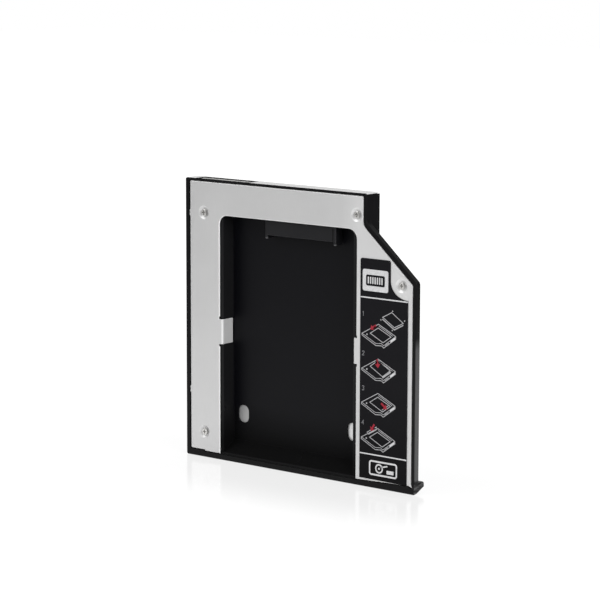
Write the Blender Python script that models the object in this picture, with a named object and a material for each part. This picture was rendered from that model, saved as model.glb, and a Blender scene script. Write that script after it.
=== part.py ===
"""Laptop drive caddy: a tray that carries a 2.5 inch drive in a slim optical drive bay.

The caddy stands on its front bar. X runs from its left to its right, Z from its front to its rear,
and Y from the cover side to the bottom side. The origin is at the bottom centre.

Sizes are written in the caddy's own directions, in millimetres:
u from the left edge to the right, v from the front face to the rear, w from the cover side inwards.
"""
import math

import bmesh
import bpy

MM = 0.001

# Overall sizes
WIDTH = 128.0
LENGTH = 126.1
THICKNESS = 9.5
WING_WIDTH = 26.4
WING_THICKNESS = 3.0
CHAMFER_START_FROM_REAR = 12.4
CHAMFER_END_FROM_REAR = 35.7
CORNER_RADIUS = 0.8
WING_CORNER_RADIUS = 2.0
CHAMFER_FILLET = 3.0
EDGE = 0.25

# Clearances, how far a cutter reaches past what it cuts, and a joined piece into its neighbour
GAP = 0.3
FIT = 0.15
PAST = 1.0
ROOT = 0.3

# Top cover
COVER_DROP = 0.25
COVER_SHEET = 0.5
COVER_EDGE = 0.25
RIM_LEFT = 2.5
RIM_REAR = 1.2
RIM_BODY_RIGHT = 1.8
RIM_WING_RIGHT = 2.1
RIM_CHAMFER = 2.2
COVER_FRONT = 2.7
COVER_FRONT_BY_WINDOW = 2.5
COVER_FRONT_BY_CORNER = 3.5
COVER_STEP = 0.5
COVER_STEP_WIDTH = 8.2
HOOK_FRONT = 2.6
HOOK_REACH = 0.9
HOOK_WIDTH = 1.4
HOOK_RADIUS = 0.35
NUB_LENGTH = 3.3
NUB_DEPTH = 0.45
NUB_DIP = 0.25
FRONT_NUB = 30.3
REAR_NUB_FROM_REAR = 15.6
COVER_FILLET = 4.0
COVER_RADIUS = 0.6
LIP_LEFT = 1.7
LIP_RIGHT = 2.0
WINDOW_FROM_REAR = 15.6
WINDOW_RADIUS_LEFT = 4.0
WINDOW_RADIUS_RIGHT = 4.5

# Tabs of the cover, folded down into the bay
TAB_FRONT = 52.7
TAB_WIDTH = 11.1
TAB_REACH = 1.5
TAB_ABOVE_FLOOR = 0.5
TAB_BEND = 0.8
RELIEF_WIDTH = 1.2
RELIEF_DEPTH = 0.5

# Drive bay
BAY_LEFT = 21.3
RIGHT_WALL = 7.3
REAR_WALL = 2.4
LIP_FRONT = 3.4
FLOOR_DEPTH = 8.2
FLOOR_FRONT = 8.4
HOLE_SPACING = 61.7
HOLE_FROM_FRONT = 20.6
HOLE_WIDTH = 6.0
HOLE_LENGTH = 8.0
DETENT_FROM_FRONT = 23.1
DETENT_LENGTH = 1.8
DETENT_HEIGHT = 0.4
DETENT_BELOW_SEAT = 0.2
FRONT_RIB_FROM_LEFT = 62.2
FRONT_RIB_WIDTH = 0.6
FRONT_RIB_HEIGHT = 0.5
FRONT_RIB_BELOW_SEAT = 1.2

# Front bar
BAR_HEIGHT = 4.8
WING_BAR_BACK = 7.0
WING_BAR_SLOPE = 2.9
WING_BAR_SLOPE_START = 0.5
CLIP_SLOT_WIDTH = 7.0
CLIP_SLOT_DEPTH = 1.7
CLIP_SLOT_THICKNESS = 2.4
CLIP_SLOT_FROM_COVER = 4.8
CLIP_SLOT_FROM_END = 16.0

# Bottom cover
BOTTOM_DROP = 0.1
BOTTOM_SHEET = 0.4
BOTTOM_RIM = 1.2
BOTTOM_BEND = 0.8
REAR_SHEET_INSET = 0.3
REAR_LIP = 0.6
REAR_HOLES_FROM_LEFT = (2.2, 50.1, 62.9)
REAR_HOLE_FROM_RIGHT = 10.5
REAR_HOLE_DEPTH = 5.4
REAR_HOLE_RADIUS = 0.45

# Hollows of the moulding
WALL = 1.8
SKIN = 1.5
RIB = 2.0
LEFT_HOLLOW_FRONT = 18.0
LEFT_HOLLOW_FROM_REAR = 24.1
RIGHT_HOLLOW_FRONT = 12.0
RIGHT_HOLLOW_FROM_REAR = 20.1
WING_HOLLOW_FRONT = 7.0
WING_HOLLOW_FROM_CHAMFER = 10.4
WING_HOLLOW_DEPTH = 0.9

# Screws
SCREW_HEAD_RADIUS = 1.55
SCREW_HEAD = 0.4
SCREW_CROWN_RADIUS = 1.25
SCREW_CROWN = 0.12
SCREW_SHAFT_RADIUS = 0.75
SCREW_TIP_RADIUS = 0.5
SCREW_TIP = 0.3
SCREW_LENGTH = 2.2
BOARD_SCREW_LENGTH = 2.7
CROSS_LENGTH = 1.9
CROSS_WIDTH = 0.5
CROSS_DEPTH = 0.32
DIMPLE_RADIUS = 3.0
DIMPLE_FLOOR_RADIUS = 1.9
DIMPLE_DEPTH = 0.6
BOTTOM_DIMPLE_RADIUS = 2.3
BOTTOM_DIMPLE_FLOOR_RADIUS = 1.7
LEFT_SCREW_FROM_EDGE = 10.6
FRONT_SCREW = 11.6
REAR_LEFT_SCREW_FROM_REAR = 15.1
REAR_RIGHT_SCREW_FROM_REAR = 9.4
REAR_RIGHT_SCREW_FROM_BAY = 1.9
WING_SCREW_FROM_EDGE = 7.9
WING_SCREW_FROM_CHAMFER = 1.8
BOTTOM_SCREW_FROM_BAR = 4.0
BOTTOM_SCREW_FROM_BAY = 3.3
BOTTOM_SCREW_FROM_REAR = 16.5
BOARD_SCREW_FROM_PLUG = 5.7
BOARD_SCREW_FROM_RIGHT = 5.4
BOARD_SCREW_FROM_REAR = 4.8

# Adapter board
BOARD_MARGIN = 0.6
BOARD_BEYOND_PLUG = 0.7
BOARD_DEPTH = 5.6
BOARD_THICKNESS = 1.2
BOARD_ARM = 8.5
POST_RADIUS = 2.2

# Drive receptacle
RECEPTACLE_FROM_BAY_RIGHT = 11.1
RECEPTACLE_WIDTH = 39.2
RECEPTACLE_SHOWN = 6.9
RECEPTACLE_LENGTH = 7.0
RECEPTACLE_ABOVE_BOARD = 2.9
RECEPTACLE_BELOW_BOARD = 1.8
HORN_WIDTH = 1.3
HORN_LENGTH = 1.6
HORN_RADIUS = 0.5
RECEPTACLE_RADIUS = 0.3
RECEPTACLE_EDGE = 0.2
SLOT_ABOVE_BOARD = 0.6
SLOT_HEIGHT = 1.1
SLOT_LENGTH = 5.4
SLOT_MARGIN = 1.3
SLOT_KEY = 1.1
SLOT_KEY_HEIGHT = 0.8
CONTACT_PITCH = 1.27
SIGNAL_CONTACTS = 7
POWER_CONTACTS = 15
SIGNAL_TO_POWER = 6.35
CONTACT_WIDTH = 0.6
CONTACT_THICKNESS = 0.2
CONTACT_RECESS = 0.5
CONTACT_LEAD = 0.6
CONTACT_PAD = 0.8
CONTACT_BEND = 1.6
CONTACT_TAIL = 1.8
CONTACT_SPRING = 0.05
GROOVE_RECESS = 0.3
GROOVE_DEPTH = 0.3

# Host plug
PLUG_LEFT = 6.9
PLUG_WIDTH = 27.6
PLUG_LENGTH = 7.6
PLUG_HEIGHT = 3.6
PLUG_RECESS = 0.2
PLUG_WALL = 0.7
PLUG_CAVITY = 4.6
TONGUE_THICKNESS = 0.8
TONGUE_FROM_TOP = 1.2
TONGUE_RECESS = 0.4
PLUG_RADIUS = 0.2
HOST_PITCH = 1.27
HOST_POWER_PITCH = 1.0
HOST_SIGNAL_CONTACTS = 7
HOST_POWER_CONTACTS = 6
HOST_SIGNAL_START = 3.6
HOST_POWER_START = 15.6
HOST_TONGUE_MARGIN = 1.0
HOST_GROOVE_RECESS = 0.7
HOST_CONTACT_RECESS = 0.9
HOST_CONTACT_STEP = 0.4
HOST_CONTACT_BEND = 0.9
HOST_CONTACT_TAIL = 2.2

# Rear opening
OPENING_MARGIN = 0.7
OPENING_ABOVE_PLUG = 0.4
OPENING_BELOW_BOARD = 0.0
COLLAR = 0.8

# Label
LABEL_THICKNESS = 0.1
LABEL_LIFT = 0.1
LABEL_FROM_WINDOW = 2.3
LABEL_FROM_EDGE = 2.2
LABEL_FRONT = 3.5
LABEL_SKEW = 0.2
LABEL_FROM_CHAMFER = 0.6
LABEL_SHOULDER_FROM_SCREW = 5.6
LABEL_SCOOP_FROM_SCREW = 6.0
LABEL_SCOOP_HEIGHT = 7.6
LABEL_SCOOP_STEPS = 8
LABEL_RADIUS = 1.0

# Board components, in a row from the first board screw: width, length and height of each kind
COMPONENT_PITCH = 5.0
COMPONENT_FROM_REAR = 5.3
CAPACITOR_SIZE = (3.2, 1.6, 1.6)
RESISTOR_SIZE = (2.0, 1.25, 0.5)
COMPONENT_RADIUS = 0.15
CAPACITOR_COUNT = 2
RESISTOR_COUNT = 2

# Levels and places worked out from the sizes above
BODY_WIDTH = WIDTH - WING_WIDTH
BAY_RIGHT = BODY_WIDTH - RIGHT_WALL
CHAMFER_REAR = LENGTH - CHAMFER_START_FROM_REAR
CHAMFER_FRONT = LENGTH - CHAMFER_END_FROM_REAR
WINDOW_REAR = LENGTH - WINDOW_FROM_REAR
COVER_BACK = COVER_DROP + COVER_SHEET
SEAT = COVER_BACK + GAP
BOTTOM_BACK = THICKNESS - BOTTOM_DROP
BOTTOM_FACE = BOTTOM_BACK - BOTTOM_SHEET
BOTTOM_SEAT = BOTTOM_FACE - GAP
WINDOW_LEFT = BAY_LEFT - LIP_LEFT
WINDOW_RIGHT = BAY_RIGHT + LIP_RIGHT
FRAME_REAR = LENGTH - BOTTOM_SHEET - GAP
BAY_REAR = FRAME_REAR - REAR_WALL
TAB_END = FLOOR_DEPTH - TAB_ABOVE_FLOOR
POCKET_LEFT = WINDOW_LEFT + TAB_REACH - COVER_SHEET - GAP
POCKET_RIGHT = WINDOW_RIGHT - TAB_REACH + COVER_SHEET + GAP
PLUG_BOTTOM = BOARD_DEPTH - GAP
PLUG_TOP = PLUG_BOTTOM - PLUG_HEIGHT
PLUG_REAR = LENGTH - PLUG_RECESS
PLUG_FRONT = PLUG_REAR - PLUG_LENGTH
TONGUE_TOP = PLUG_TOP + TONGUE_FROM_TOP
BOARD_BACK = BOARD_DEPTH + BOARD_THICKNESS
RECEPTACLE_LEFT = BAY_RIGHT - RECEPTACLE_FROM_BAY_RIGHT - RECEPTACLE_WIDTH
RECEPTACLE_FACE = WINDOW_REAR - RECEPTACLE_SHOWN
BOARD_FRONT = RECEPTACLE_FACE + RECEPTACLE_LENGTH + GAP
BOARD_REAR = BAY_REAR - GAP
BOARD_LEFT = PLUG_LEFT - BOARD_BEYOND_PLUG
BOARD_RIGHT = BAY_RIGHT - BOARD_MARGIN
BOARD_ARM_FRONT = BOARD_REAR - BOARD_ARM
RECEPTACLE_TOP = BOARD_DEPTH - RECEPTACLE_ABOVE_BOARD
RECEPTACLE_BOTTOM = BOARD_DEPTH + RECEPTACLE_BELOW_BOARD
SLOT_BOTTOM = BOARD_DEPTH - SLOT_ABOVE_BOARD
SLOT_TOP = SLOT_BOTTOM - SLOT_HEIGHT
OPENING_LEFT = PLUG_LEFT - OPENING_MARGIN
OPENING_RIGHT = PLUG_LEFT + PLUG_WIDTH + OPENING_MARGIN
OPENING_TOP = PLUG_TOP - OPENING_ABOVE_PLUG
OPENING_BOTTOM = BOARD_BACK + OPENING_BELOW_BOARD
LABEL_LEFT = WINDOW_RIGHT + LABEL_FROM_WINDOW
LABEL_RIGHT = WIDTH - RIM_WING_RIGHT - LABEL_FROM_EDGE
COVER_SCREWS = (
    (LEFT_SCREW_FROM_EDGE, FRONT_SCREW),
    (LEFT_SCREW_FROM_EDGE, LENGTH - REAR_LEFT_SCREW_FROM_REAR),
    (BAY_RIGHT + REAR_RIGHT_SCREW_FROM_BAY, LENGTH - REAR_RIGHT_SCREW_FROM_REAR),
    (WIDTH - WING_SCREW_FROM_EDGE, CHAMFER_FRONT - WING_SCREW_FROM_CHAMFER),
)
BOTTOM_SCREWS = (
    (LEFT_SCREW_FROM_EDGE, BAR_HEIGHT + BOTTOM_SCREW_FROM_BAR),
    (BAY_RIGHT + BOTTOM_SCREW_FROM_BAY, BAR_HEIGHT + BOTTOM_SCREW_FROM_BAR),
    (BAY_RIGHT + BOTTOM_SCREW_FROM_BAY, LENGTH - BOTTOM_SCREW_FROM_REAR),
    (LEFT_SCREW_FROM_EDGE, LENGTH - BOTTOM_SCREW_FROM_REAR),
)
BOARD_SCREWS = (
    (PLUG_LEFT + PLUG_WIDTH + BOARD_SCREW_FROM_PLUG, BOARD_REAR - BOARD_SCREW_FROM_REAR),
    (BOARD_RIGHT - BOARD_SCREW_FROM_RIGHT, BOARD_REAR - BOARD_SCREW_FROM_REAR),
)
CLIP_SLOT_CENTRES = (CLIP_SLOT_FROM_END, BODY_WIDTH / 2, BODY_WIDTH - CLIP_SLOT_FROM_END)
REAR_HOLES = (*REAR_HOLES_FROM_LEFT, BODY_WIDTH - REAR_HOLE_FROM_RIGHT)
NUB_CENTRES = (LENGTH - REAR_NUB_FROM_REAR, FRONT_NUB)
LABEL_SHOULDER = COVER_SCREWS[3][0] - LABEL_SHOULDER_FROM_SCREW
LABEL_SCOOP_FRONT = COVER_SCREWS[3][1] - LABEL_SCOOP_FROM_SCREW
LABEL_SCOOP_REAR = LABEL_SCOOP_FRONT + LABEL_SCOOP_HEIGHT

ARC_STEP = math.radians(15.0)
ROUND_SIDES = 28
SHAFT_SIDES = 12


def clear_scene():
    for thing in list(bpy.data.objects):
        bpy.data.objects.remove(thing, do_unlink=True)


def place(u, v, w):
    """World position in metres of a point given in the caddy's own directions."""
    return ((u - WIDTH / 2) * MM, (w - THICKNESS / 2) * MM, v * MM)


def material(name, colour, roughness, metallic):
    made = bpy.data.materials.new(name)
    made.use_nodes = True
    shader = made.node_tree.nodes["Principled BSDF"]
    shader.inputs["Base Color"].default_value = (*colour, 1.0)
    shader.inputs["Roughness"].default_value = roughness
    shader.inputs["Metallic"].default_value = metallic
    return made


# Outlines

def rounded(corners):
    """Closed outline from (a, b, radius) corners, each round corner as an arc."""
    points = []
    count = len(corners)
    for index, (a, b, radius) in enumerate(corners):
        if radius <= 0.0:
            points.append((a, b))
            continue
        before = corners[index - 1]
        after = corners[(index + 1) % count]
        back = (before[0] - a, before[1] - b)
        ahead = (after[0] - a, after[1] - b)
        back_length = math.hypot(*back)
        ahead_length = math.hypot(*ahead)
        back = (back[0] / back_length, back[1] / back_length)
        ahead = (ahead[0] / ahead_length, ahead[1] / ahead_length)
        between = math.acos(max(-1.0, min(1.0, back[0] * ahead[0] + back[1] * ahead[1])))
        reach = min(radius / math.tan(between / 2), 0.45 * back_length, 0.45 * ahead_length)
        radius = reach * math.tan(between / 2)
        middle = (back[0] + ahead[0], back[1] + ahead[1])
        scale = radius / math.sin(between / 2) / math.hypot(*middle)
        centre = (a + middle[0] * scale, b + middle[1] * scale)
        start = math.atan2(b + back[1] * reach - centre[1], a + back[0] * reach - centre[0])
        turn = math.atan2(b + ahead[1] * reach - centre[1], a + ahead[0] * reach - centre[0]) - start
        turn = (turn + math.pi) % (2 * math.pi) - math.pi
        steps = max(2, math.ceil(abs(turn) / ARC_STEP))
        for step in range(steps + 1):
            angle = start + turn * step / steps
            points.append((centre[0] + radius * math.cos(angle), centre[1] + radius * math.sin(angle)))
    return points


def rectangle(a0, b0, a1, b1, radius=0.0):
    return rounded([(a0, b0, radius), (a1, b0, radius), (a1, b1, radius), (a0, b1, radius)])


def circle(a, b, radius, sides=ROUND_SIDES):
    steps = [2 * math.pi * step / sides for step in range(sides)]
    return [(a + radius * math.cos(angle), b + radius * math.sin(angle)) for angle in steps]


def grown(points, distance):
    """Outline moved outwards by a distance, or inwards if it is negative."""
    count = len(points)
    area = sum(points[i - 1][0] * points[i][1] - points[i][0] * points[i - 1][1] for i in range(count))
    side = 1.0 if area > 0 else -1.0
    moved = []
    for i in range(count):
        a0, b0 = points[i - 1]
        a1, b1 = points[i]
        a2, b2 = points[(i + 1) % count]
        length_in = math.hypot(a1 - a0, b1 - b0)
        length_out = math.hypot(a2 - a1, b2 - b1)
        normal_in = ((b1 - b0) / length_in * side, (a0 - a1) / length_in * side)
        normal_out = ((b2 - b1) / length_out * side, (a1 - a2) / length_out * side)
        sum_a = normal_in[0] + normal_out[0]
        sum_b = normal_in[1] + normal_out[1]
        scale = 2 * distance / (sum_a * sum_a + sum_b * sum_b)
        moved.append((a1 + sum_a * scale, b1 + sum_b * scale))
    return moved


def offset_line(start, end, distance):
    """Line through two points moved to its left by a distance, as two points."""
    run = (end[0] - start[0], end[1] - start[1])
    length = math.hypot(*run)
    shift = (-run[1] / length * distance, run[0] / length * distance)
    return (start[0] + shift[0], start[1] + shift[1]), (end[0] + shift[0], end[1] + shift[1])


def v_at(line, u):
    """v where a slanted line has the given u."""
    (u0, v0), (u1, v1) = line
    return v0 + (v1 - v0) * (u - u0) / (u1 - u0)


# Solids

def loops_to_object(name, loops):
    """Closed solid through a stack of equal outlines, each a list of world points."""
    mesh = bmesh.new()
    rings = [[mesh.verts.new(point) for point in loop] for loop in loops]
    count = len(rings[0])
    mesh.faces.new(rings[0])
    mesh.faces.new(rings[-1])
    for low, high in zip(rings, rings[1:]):
        for i in range(count):
            j = (i + 1) % count
            mesh.faces.new((low[i], low[j], high[j], high[i]))
    bmesh.ops.recalc_face_normals(mesh, faces=mesh.faces)
    data = bpy.data.meshes.new(name)
    mesh.to_mesh(data)
    mesh.free()
    made = bpy.data.objects.new(name, data)
    bpy.context.collection.objects.link(made)
    return made


def plate(name, outline, w0, w1, front_edge=0.0, back_edge=0.0):
    """Outline in u and v, standing from depth w0 to w1, with a small bevel on each edge that is given one."""
    levels = []
    if front_edge > 0:
        levels.append((grown(outline, -front_edge), w0))
    levels.append((outline, w0 + front_edge))
    levels.append((outline, w1 - back_edge))
    if back_edge > 0:
        levels.append((grown(outline, -back_edge), w1))
    return loops_to_object(name, [[place(u, v, w) for u, v in points] for points, w in levels])


def cone(name, u, v, levels, sides=ROUND_SIDES):
    """Round solid about an axis through (u, v), from (radius, w) levels."""
    loops = []
    for radius, w in levels:
        loops.append([place(a, b, w) for a, b in circle(u, v, radius, sides)])
    return loops_to_object(name, loops)


def across(name, outline, u0, u1):
    """Outline in v and w, standing from u0 to u1."""
    return loops_to_object(name, [[place(u, v, w) for v, w in outline] for u in (u0, u1)])


def along(name, outline, v0, v1):
    """Outline in u and w, standing from v0 to v1."""
    return loops_to_object(name, [[place(u, v, w) for u, w in outline] for v in (v0, v1)])


def block(name, u0, u1, v0, v1, w0, w1):
    return plate(name, rectangle(u0, v0, u1, v1), w0, w1)


def combine(target, operation, tools):
    """Join tools to the target or cut them from it, and keep only the target."""
    for tool in tools:
        step = target.modifiers.new("step", "BOOLEAN")
        step.operation = operation
        step.solver = "EXACT"
        step.object = tool
        bpy.context.view_layer.update()
        result = bpy.data.meshes.new_from_object(target.evaluated_get(bpy.context.evaluated_depsgraph_get()))
        target.modifiers.remove(step)
        target.data = result
        bpy.data.objects.remove(tool, do_unlink=True)
    return target


def cut(target, *tools):
    return combine(target, "DIFFERENCE", tools)


def join(target, *tools):
    return combine(target, "UNION", tools)


def finish(thing, look, smooth=True):
    """Weld the boolean seams and give the piece its material and shading."""
    mesh = bmesh.new()
    mesh.from_mesh(thing.data)
    bmesh.ops.remove_doubles(mesh, verts=mesh.verts, dist=0.002 * MM)
    bmesh.ops.dissolve_degenerate(mesh, edges=mesh.edges, dist=0.002 * MM)
    bmesh.ops.recalc_face_normals(mesh, faces=mesh.faces)
    mesh.to_mesh(thing.data)
    mesh.free()
    thing.data.materials.clear()
    thing.data.materials.append(look)
    if smooth:
        thing.data.shade_smooth()
        thing.data.set_sharp_from_angle(angle=math.radians(40))
    return thing


# Shared outlines

def chamfer_line():
    return (BODY_WIDTH, CHAMFER_REAR), (WIDTH, CHAMFER_FRONT)


def wing_outline():
    """Whole outline on the cover side."""
    return rounded([
        (0.0, 0.0, CORNER_RADIUS),
        (WIDTH, 0.0, CORNER_RADIUS),
        (WIDTH, CHAMFER_FRONT, WING_CORNER_RADIUS),
        (BODY_WIDTH, CHAMFER_REAR, CHAMFER_FILLET),
        (BODY_WIDTH, LENGTH, CORNER_RADIUS),
        (0.0, LENGTH, CORNER_RADIUS),
    ])


def cover_edge_line():
    """Chamfered edge of the cover, parallel to the frame's."""
    start, end = chamfer_line()
    return offset_line(start, end, -RIM_CHAMFER)


def nub_corners(centre):
    """Small double bump on the cover's left edge, from its rear end to its front end."""
    half = NUB_LENGTH / 2
    outer = RIM_LEFT - NUB_DEPTH
    return [
        (RIM_LEFT, centre + half, 0.0),
        (outer, centre + half - NUB_DEPTH, 0.0),
        (outer, centre + half / 3, 0.0),
        (outer + NUB_DIP, centre, 0.0),
        (outer, centre - half / 3, 0.0),
        (outer, centre - half + NUB_DEPTH, 0.0),
        (RIM_LEFT, centre - half, 0.0),
    ]


def cover_corners(between_arms):
    """Corners of the cover from its front left, with those between its two arms as given."""
    line = cover_edge_line()
    step_right = RIM_LEFT + COVER_STEP_WIDTH
    body_right = BODY_WIDTH - RIM_BODY_RIGHT
    wing_right = WIDTH - RIM_WING_RIGHT
    rear = LENGTH - RIM_REAR
    corners = [
        (RIM_LEFT, COVER_FRONT + COVER_STEP, COVER_RADIUS),
        (step_right, COVER_FRONT + COVER_STEP, 0.0),
        (step_right, COVER_FRONT, 0.0),
        (WINDOW_LEFT, COVER_FRONT, 0.0),
        *between_arms,
        (WINDOW_RIGHT, COVER_FRONT_BY_WINDOW, 0.0),
        (wing_right - HOOK_WIDTH, COVER_FRONT_BY_CORNER, 0.0),
        (wing_right + HOOK_REACH, HOOK_FRONT, HOOK_RADIUS),
        (wing_right, COVER_FRONT_BY_CORNER + HOOK_WIDTH / 2, 0.0),
        (wing_right, v_at(line, wing_right), COVER_RADIUS),
        (body_right, v_at(line, body_right), COVER_FILLET),
        (body_right, rear, COVER_RADIUS),
        (RIM_LEFT, rear, COVER_RADIUS),
    ]
    for centre in NUB_CENTRES:
        corners += nub_corners(centre)
    return corners


def cover_outline():
    """Outline of the cover, with the window open to the front."""
    return rounded(cover_corners([
        (WINDOW_LEFT, WINDOW_REAR, WINDOW_RADIUS_LEFT),
        (WINDOW_RIGHT, WINDOW_REAR, WINDOW_RADIUS_RIGHT),
    ]))


def cover_seat_outline():
    """Outline of the cover's seat in the frame, which runs on across the window along the front bar."""
    return grown(rounded(cover_corners([])), GAP)


# Frame

def frame_body():
    """Flat body with the wing, joined to the thick part and the front bar behind it."""
    body = plate("frame", wing_outline(), 0.0, WING_THICKNESS, EDGE, EDGE)
    thick = rounded([
        (0.0, 0.0, CORNER_RADIUS),
        (BODY_WIDTH, 0.0, 0.0),
        (BODY_WIDTH, LENGTH, CORNER_RADIUS),
        (0.0, LENGTH, CORNER_RADIUS),
    ])
    inside = BODY_WIDTH - RIM_BODY_RIGHT
    bar = rounded([
        (inside, 0.0, 0.0),
        (WIDTH, 0.0, CORNER_RADIUS),
        (WIDTH, BAR_HEIGHT, CORNER_RADIUS),
        (inside, BAR_HEIGHT, 0.0),
    ])
    start = WING_THICKNESS - EDGE
    return join(
        body,
        plate("thick", thick, start, THICKNESS, 0.0, EDGE),
        plate("bar", bar, start, WING_BAR_BACK, 0.0, EDGE),
    )


def bar_slope_cutter():
    """Slope on the front side of the bar beside the body, under the wing."""
    back = WING_BAR_BACK + PAST
    profile = [
        (-PAST, WING_BAR_SLOPE_START),
        (0.0, WING_BAR_SLOPE_START),
        (WING_BAR_SLOPE, WING_BAR_BACK),
        (WING_BAR_SLOPE, back),
        (-PAST, back),
    ]
    return across("slope", profile, BODY_WIDTH, WIDTH + PAST)


def rear_collar():
    """Raised rim around the opening for the host plug, level with the rear sheet."""
    return block(
        "collar",
        OPENING_LEFT - COLLAR,
        OPENING_RIGHT + COLLAR,
        FRAME_REAR - ROOT,
        LENGTH,
        REAR_LIP - ROOT,
        OPENING_BOTTOM + COLLAR,
    )


def bay_cutter():
    """Drive bay, with the sloped inner side of the front bar."""
    profile = [
        (LIP_FRONT, -PAST),
        (LIP_FRONT, SEAT),
        (FLOOR_FRONT, FLOOR_DEPTH),
        (BAY_REAR, FLOOR_DEPTH),
        (BAY_REAR, -PAST),
    ]
    return across("bay", profile, BAY_LEFT, BAY_RIGHT)


def floor_holes():
    """Two long holes in the floor under the drive's screw holes."""
    middle = (BAY_LEFT + BAY_RIGHT) / 2
    cutters = []
    for side in (-1, 1):
        u = middle + side * HOLE_SPACING / 2
        outline = rectangle(
            u - HOLE_WIDTH / 2,
            HOLE_FROM_FRONT - HOLE_LENGTH / 2,
            u + HOLE_WIDTH / 2,
            HOLE_FROM_FRONT + HOLE_LENGTH / 2,
            HOLE_WIDTH / 2,
        )
        cutters.append(plate("hole", outline, FLOOR_DEPTH - PAST, THICKNESS + PAST))
    return cutters


def detent():
    """Small moulded bump on the left wall of the bay."""
    half = DETENT_LENGTH / 2
    outline = [
        (BAY_LEFT - ROOT, DETENT_FROM_FRONT - half),
        (BAY_LEFT, DETENT_FROM_FRONT - half),
        (BAY_LEFT + DETENT_HEIGHT, DETENT_FROM_FRONT - half / 3),
        (BAY_LEFT + DETENT_HEIGHT, DETENT_FROM_FRONT + half / 3),
        (BAY_LEFT, DETENT_FROM_FRONT + half),
        (BAY_LEFT - ROOT, DETENT_FROM_FRONT + half),
    ]
    top = SEAT + DETENT_BELOW_SEAT
    return plate("detent", outline, top, top + DETENT_LENGTH)


def front_rib():
    """Thin rib down the sloped inner side of the front bar."""
    slope = (FLOOR_FRONT - LIP_FRONT) / (FLOOR_DEPTH - SEAT)
    top = SEAT + FRONT_RIB_BELOW_SEAT
    face = LIP_FRONT + slope * FRONT_RIB_BELOW_SEAT
    profile = [
        (face - ROOT, top),
        (face, top),
        (face + FRONT_RIB_HEIGHT, top + FRONT_RIB_HEIGHT),
        (FLOOR_FRONT + FRONT_RIB_HEIGHT, FLOOR_DEPTH + ROOT),
        (FLOOR_FRONT - ROOT, FLOOR_DEPTH + ROOT),
    ]
    return across("rib", profile, FRONT_RIB_FROM_LEFT, FRONT_RIB_FROM_LEFT + FRONT_RIB_WIDTH)


def tab_pockets():
    """Room in the walls of the bay behind the folded tabs."""
    rear = TAB_FRONT + TAB_WIDTH + GAP
    return [
        block("pocket", POCKET_LEFT, BAY_LEFT + PAST, TAB_FRONT - GAP, rear, -PAST, FLOOR_DEPTH),
        block("pocket", BAY_RIGHT - PAST, POCKET_RIGHT, TAB_FRONT - GAP, rear, -PAST, FLOOR_DEPTH),
    ]


def ribbed(start, end, count):
    """Spans of equal length from start to end, with ribs between them."""
    pitch = (end - start + RIB) / count
    return [(start + i * pitch, start + (i + 1) * pitch - RIB) for i in range(count)]


def hollow_cutters():
    """Hollows moulded in from the bottom side, with ribs between them."""
    cutters = []
    top = SEAT + SKIN
    bottom = THICKNESS + PAST
    for v0, v1 in ribbed(LEFT_HOLLOW_FRONT, LENGTH - LEFT_HOLLOW_FROM_REAR, 2):
        cutters.append(block("hollow", WALL, POCKET_LEFT - SKIN, v0, v1, top, bottom))
    for v0, v1 in ribbed(RIGHT_HOLLOW_FRONT, LENGTH - RIGHT_HOLLOW_FROM_REAR, 2):
        cutters.append(block("hollow", POCKET_RIGHT + SKIN, BODY_WIDTH - WALL, v0, v1, top, bottom))
    for v0, v1 in ribbed(WING_HOLLOW_FRONT, CHAMFER_FRONT - WING_HOLLOW_FROM_CHAMFER, 3):
        outline = rectangle(BODY_WIDTH + WALL, v0, WIDTH - WALL, v1, CORNER_RADIUS)
        cutters.append(plate("hollow", outline, WING_THICKNESS - WING_HOLLOW_DEPTH, THICKNESS))
    return cutters


def screw_hole_cutters():
    """Holes for the cover screws and bottom screws, with room for the pressed dimples."""
    cutters = []
    hole = SCREW_SHAFT_RADIUS + FIT
    room = DIMPLE_RADIUS + GAP
    for u, v in COVER_SCREWS:
        end = COVER_DROP + DIMPLE_DEPTH - GAP + SCREW_LENGTH + GAP
        if u > BODY_WIDTH:
            end = WING_THICKNESS + PAST
        cutters.append(cone("room", u, v, [(room, -PAST), (room, SEAT + DIMPLE_DEPTH)]))
        cutters.append(cone("hole", u, v, [(hole, 0.0), (hole, end)], SHAFT_SIDES))
    room = BOTTOM_DIMPLE_RADIUS + GAP
    for u, v in BOTTOM_SCREWS:
        depth = BOTTOM_BACK - DIMPLE_DEPTH + GAP - SCREW_LENGTH - GAP
        cutters.append(cone("room", u, v, [(room, BOTTOM_SEAT - DIMPLE_DEPTH), (room, THICKNESS + PAST)]))
        cutters.append(cone("hole", u, v, [(hole, depth), (hole, THICKNESS)], SHAFT_SIDES))
    return cutters


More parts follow.
